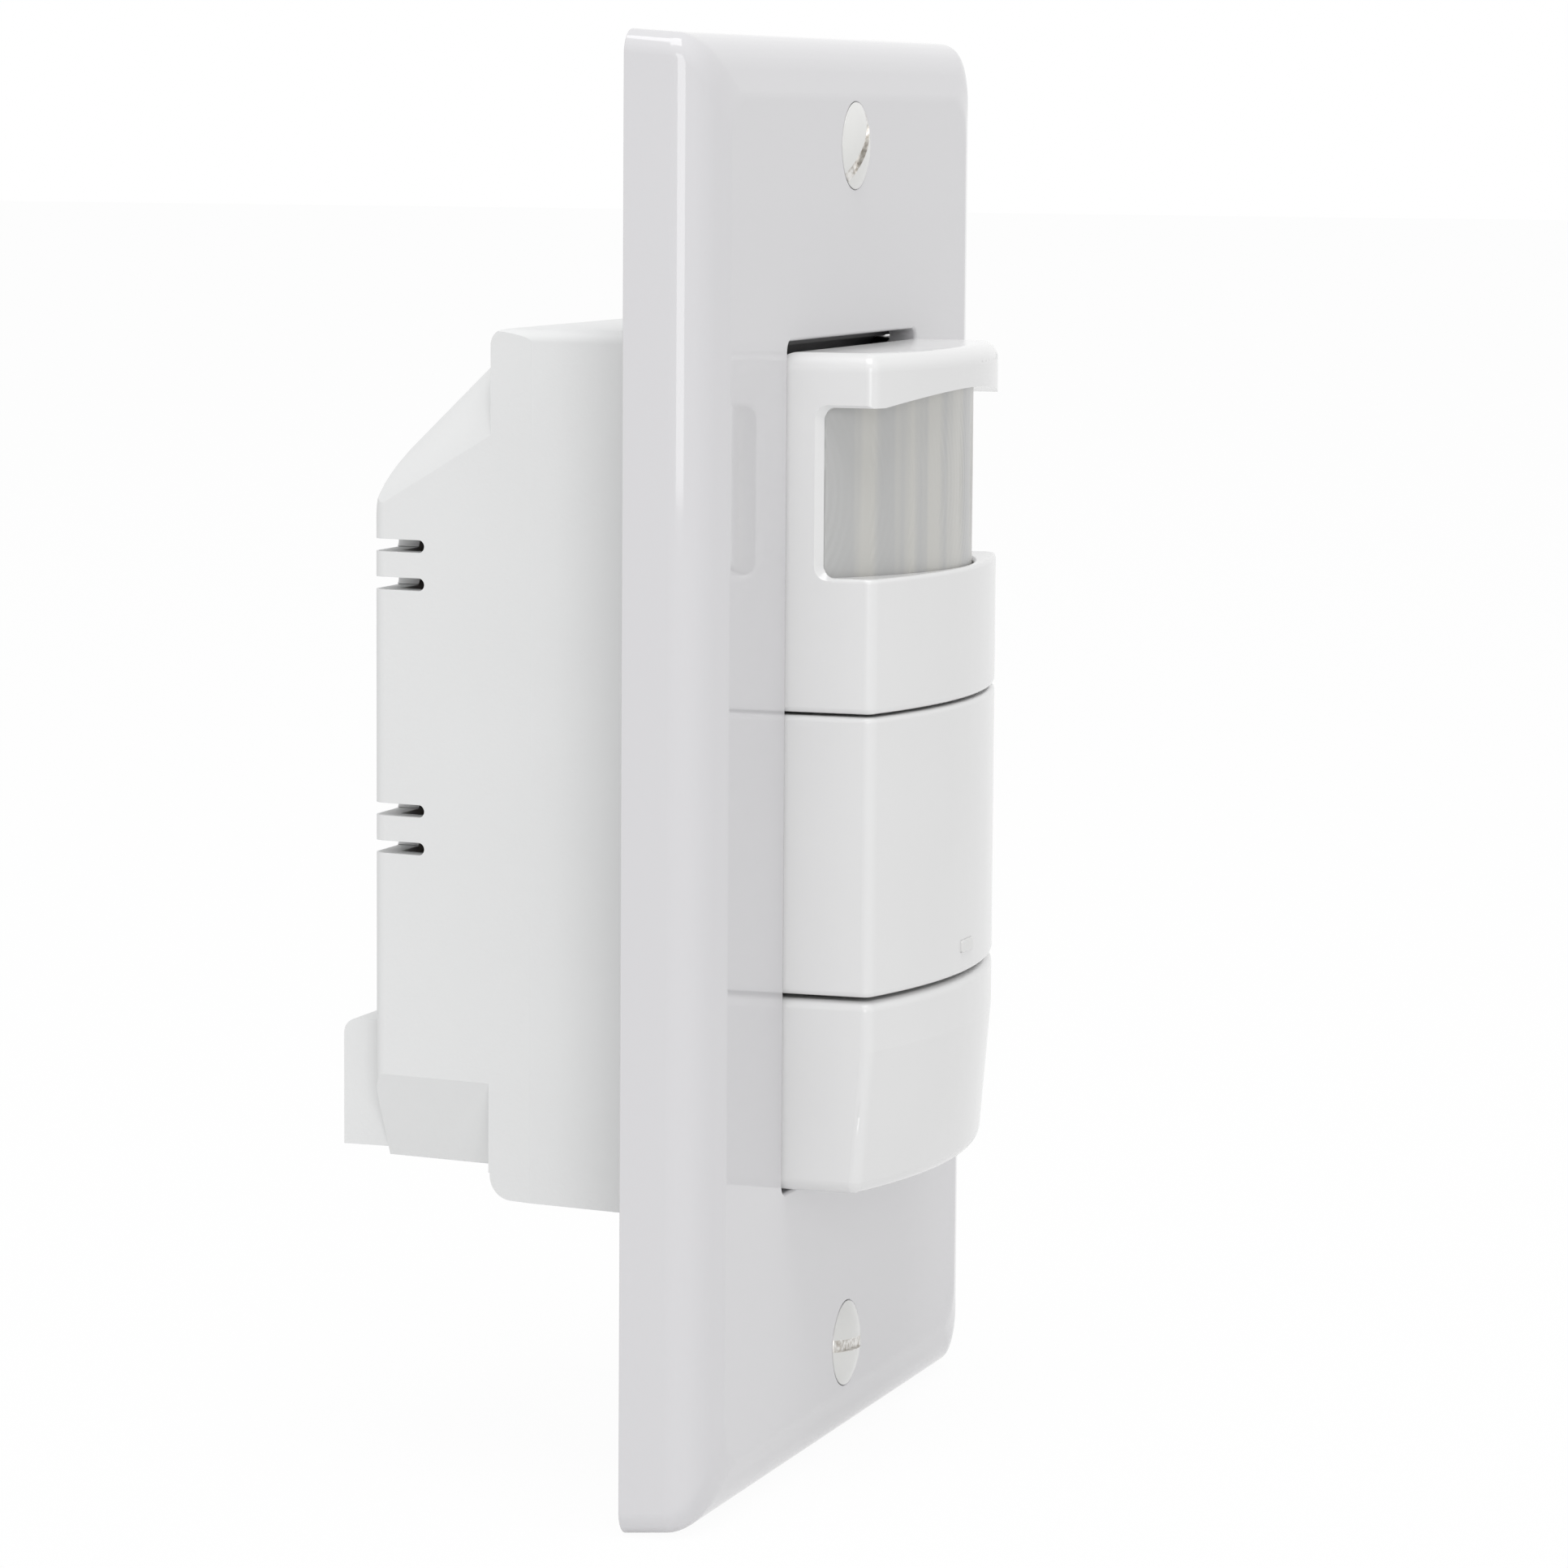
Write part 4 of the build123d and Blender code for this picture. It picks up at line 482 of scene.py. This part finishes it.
# Wall plate, a thin shell of glossy white plastic moulded with a bevel all round, a slot for the
# device and two countersunk holes
def turned_profile(points, radii, steps=8):
    """A line through these corners with each corner rounded: the tangent length is the radius
    times the tangent of half the turn, and the arc swings from one tangent point to the next."""
    points = np.asarray(points, float)
    found = [points[:1]]
    for before, corner, after, radius in zip(points, points[1:], points[2:], radii):
        toward = (before - corner) / np.linalg.norm(before - corner)
        onward = (after - corner) / np.linalg.norm(after - corner)
        half = np.arccos(np.clip(toward @ onward, -1, 1)) / 2
        bisector = (toward + onward) / np.linalg.norm(toward + onward)
        middle = corner + bisector * radius / np.sin(half)
        start = corner + toward * radius / np.tan(half) - middle
        end = corner + onward * radius / np.tan(half) - middle
        share = np.linspace(0, 1, steps + 1)[:, None]
        swing = np.pi - 2 * half
        arc = np.sin((1 - share) * swing) * start + np.sin(share * swing) * end
        found.append(middle + arc / np.sin(swing))
    found.append(points[-1:])
    return np.concatenate(found)


def carve(piece, cutter):
    """Takes the cutter's shape out of the piece and drops the cutter."""
    cut = piece.modifiers.new("cut", "BOOLEAN")
    cut.object, cut.operation, cut.solver = cutter, "DIFFERENCE", "EXACT"
    carving = piece.evaluated_get(bpy.context.evaluated_depsgraph_get())
    carved = bpy.data.meshes.new_from_object(carving)
    piece.modifiers.clear()
    piece.data = carved
    bpy.data.objects.remove(cutter)


def turned(name, profile, z, finish=None, body=None, pitch=0.0, crest=0.0, start=0.0):
    """A round piece on the screw line at height z: each profile point is a radius and a depth,
    swung round the line. Past the start, a thread cuts in by the crest times a triangle wave of
    depth over pitch less the turn, which fades in over one pitch."""
    steps, plain_core = 64, 1
    swing = np.linspace(0, 2 * np.pi, steps, endpoint=False)
    radius, depth = np.asarray(profile, float).T
    round_radius = np.repeat(radius[:, None], steps, 1)
    if pitch:
        phase = depth[:, None] / pitch - swing / (2 * np.pi)
        inside = np.clip((depth - start) / pitch, 0, 1)[:, None] * (radius > plain_core)[:, None]
        round_radius = round_radius - 2 * crest * np.abs(phase - np.round(phase)) * inside
    grid = np.stack((round_radius * np.cos(swing), np.repeat(depth[:, None], steps, 1),
                     z + round_radius * np.sin(swing)), 2)
    return grid_piece(name, grid, finish, body, capped=True)


plate_half_x, plate_half_z = millimetres * plate_high.x, millimetres * plate_high.z
plate_face, plate_wall, plate_corner, corner_growth = -6.8, 2.3, 1.8, 0.3
slot_half_x, slot_half_z, slot_corner = 16.5, 33.4, 0.8
room_corner, room_chamfer = 0.9, 0.1
screw_from_edge = 8.73
screw_height = plate_half_z - screw_from_edge
# The points of the bevel are a distance in from the rim and a depth, those of the mouth a distance
# out from the slot and a depth. The radii round the corners between the first and last point
bevel = [(plate_wall, 0), (0, 0), (0.35, -5.2), (2.55, -6.22), (4.9, plate_face), (9, plate_face)]
bevel_radii = [0.08, 3.0, 5.0, 3.2]
mouth = [(6, plate_face), (0, plate_face), (0, plate_face + plate_wall)]
mouth_radii = [0.28]
inset, depth = turned_profile(bevel, bevel_radii)[:-1].T
spread, mouth_depth = turned_profile(mouth, mouth_radii, 5)[1:].T
room_half_x, room_half_z = plate_half_x - plate_wall, plate_half_z - plate_wall
room_top = plate_face + plate_wall
half_x = np.concatenate((plate_half_x - inset, slot_half_x + spread,
                         [room_half_x - room_chamfer, room_half_x]))
half_z = np.concatenate((plate_half_z - inset, slot_half_z + spread,
                         [room_half_z - room_chamfer, room_half_z]))
corner = np.concatenate((plate_corner + corner_growth * inset, slot_corner + spread,
                         [room_corner, room_corner]))
level = np.concatenate((depth, mouth_depth, [room_top, room_top + room_chamfer]))
loops = frame_loops(half_x, half_z, corner)
depths = np.repeat(level[:, None, None], loops.shape[1], 1)
rows = np.concatenate((loops, depths), 2)[:, :, (0, 2, 1)]
plate_white = moulded("plate_white", colour=(0.655, 0.65, 0.665), roughness=0.045,
                      grain=0.004, height=0.000003, mottle=0.006, cloud=0.02)
plate = grid_piece("wall_plate_shell", rows, plate_white, "switch", along=True)
axis, hole_radius, sink_radius, rim_radius = 0.01, 2.0, 3.55, 3.62
sink_depth, rim_rise = 1.725, 0.06
behind, before = 3.0, plate_face - 2
sink = [(axis, behind), (hole_radius, behind), (hole_radius, plate_face + sink_depth),
        (sink_radius, plate_face), (rim_radius, plate_face - rim_rise), (rim_radius, before),
        (axis, before)]
for height in (screw_height, -screw_height):
    carve(plate, turned("sink", sink, height))
soften(plate)
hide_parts("wall_plate")


# Plate screws, turned from steel: an oval head painted white and worn bare at the slot, over a
# rolled machine thread that goes into the yoke
def painted_steel(name, height, turn):
    """White enamel over steel. The steel shows where the distance from the slot's middle line,
    roughened by noise, is under the half width of the slot, and below the head."""
    steel_roughness, chips_per_metre = 0.38, 1800
    ragged, bare_within, painted_from = 0.00032, 0.00033, 0.00037
    paint_end, steel_start = plate_face + 0.3, plate_face + 0.6
    finish = moulded(name, colour=(0.75, 0.75, 0.735), roughness=0.22, grain=0.0008,
                     height=0.00001, mottle=0.01, cloud=0.003)
    tree = finish.node_tree
    enamel = tree.nodes["Principled BSDF"]
    steel = tree.nodes.new("ShaderNodeBsdfPrincipled")
    steel.inputs["Metallic"].default_value = 1
    steel.inputs["Roughness"].default_value = steel_roughness
    place = tree.nodes.new("ShaderNodeTexCoord")
    turned_place = tree.nodes.new("ShaderNodeMapping")
    turned_place.vector_type = "TEXTURE"
    turned_place.inputs["Location"].default_value = (0, 0, height / millimetres)
    turned_place.inputs["Rotation"].default_value = (0, -radians(turn), 0)
    parts = tree.nodes.new("ShaderNodeSeparateXYZ")
    away = tree.nodes.new("ShaderNodeMath")
    away.operation = "ABSOLUTE"
    chips = tree.nodes.new("ShaderNodeTexNoise")
    chips.inputs["Scale"].default_value = chips_per_metre
    chips.inputs["Detail"].default_value = 4
    rough = tree.nodes.new("ShaderNodeMath")
    rough.operation = "MULTIPLY_ADD"
    rough.inputs[1].default_value = -ragged
    bare = tree.nodes.new("ShaderNodeMapRange")
    bare.inputs["From Min"].default_value = painted_from
    bare.inputs["From Max"].default_value = bare_within
    below = tree.nodes.new("ShaderNodeMapRange")
    below.inputs["From Min"].default_value = paint_end / millimetres
    below.inputs["From Max"].default_value = steel_start / millimetres
    unpainted = tree.nodes.new("ShaderNodeMath")
    unpainted.operation = "MAXIMUM"
    grime = tree.nodes.new("ShaderNodeValToRGB")
    dirty, clean = grime.color_ramp.elements
    dirty.position, dirty.color = 0.35, (0.42, 0.39, 0.35, 1)
    clean.position, clean.color = 0.6, (0.78, 0.77, 0.75, 1)
    both = tree.nodes.new("ShaderNodeMixShader")
    links = tree.links
    links.new(place.outputs["Object"], turned_place.inputs["Vector"])
    links.new(turned_place.outputs["Vector"], parts.inputs["Vector"])
    links.new(parts.outputs["Z"], away.inputs[0])
    links.new(place.outputs["Object"], chips.inputs["Vector"])
    links.new(chips.outputs["Fac"], rough.inputs[0])
    links.new(away.outputs[0], rough.inputs[2])
    links.new(rough.outputs[0], bare.inputs["Value"])
    links.new(chips.outputs["Fac"], grime.inputs["Fac"])
    links.new(grime.outputs["Color"], steel.inputs["Base Color"])
    links.new(parts.outputs["Y"], below.inputs["Value"])
    links.new(bare.outputs["Result"], unpainted.inputs[0])
    links.new(below.outputs["Result"], unpainted.inputs[1])
    links.new(unpainted.outputs[0], both.inputs[0])
    links.new(enamel.outputs[0], both.inputs[1])
    links.new(steel.outputs[0], both.inputs[2])
    links.new(both.outputs[0], tree.nodes["Material Output"].inputs["Surface"])
    return finish


def oval_head():
    """Half the outline of the screw: a dome cut from a sphere, the cone under it, the shank in
    short steps for its thread, and the chamfered tip."""
    middle, head_radius, crown_edge, crown_height = 0.02, 3.5, 3.42, 0.85
    cone_radius, cone_top = 3.45, plate_face + 0.02
    shank_radius, tip_radius, shank_step = 1.75, 1.2, 0.1
    shank_start, shank_end, tip = plate_face + 1.9, plate_face + 11.4, plate_face + 11.8
    dome = np.linspace(middle, crown_edge, 14)
    sphere = (head_radius ** 2 + crown_height ** 2) / (2 * crown_height)
    crown = plate_face - crown_height + sphere - np.sqrt(sphere ** 2 - dome ** 2)
    shank = np.arange(shank_start, shank_end, shank_step)
    return [*zip(dome, crown), (cone_radius, cone_top), *[(shank_radius, depth) for depth in shank],
            (tip_radius, tip), (middle, tip)]


slot_length, slot_half_width, slot_floor = 8.0, 0.45, plate_face - 0.4
slot_top = plate_face - 2
for name, height, turn in (("plate_screw_top", screw_height, 48.0),
                           ("plate_screw_bottom", -screw_height, -5.0)):
    enamel = painted_steel(name + "_enamel", height, turn)
    screw = turned(name, oval_head(), height, enamel, "switch",
                   pitch=0.79, crest=0.42, start=plate_face + 2.4)
    swing = radians(turn)
    across = np.array([(-1, -1), (1, -1), (1, 1), (-1, 1)]) * (slot_length / 2, slot_half_width)
    across = across @ np.array([(cos(swing), sin(swing)), (-sin(swing), cos(swing))])
    slot = np.stack([np.column_stack((across[:, 0], np.full(4, y), across[:, 1] + height))
                     for y in (slot_top, slot_floor)])
    carve(screw, grid_piece("slot", slot, None, None, capped=True))
    soften(screw)
    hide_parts("plate_screws")
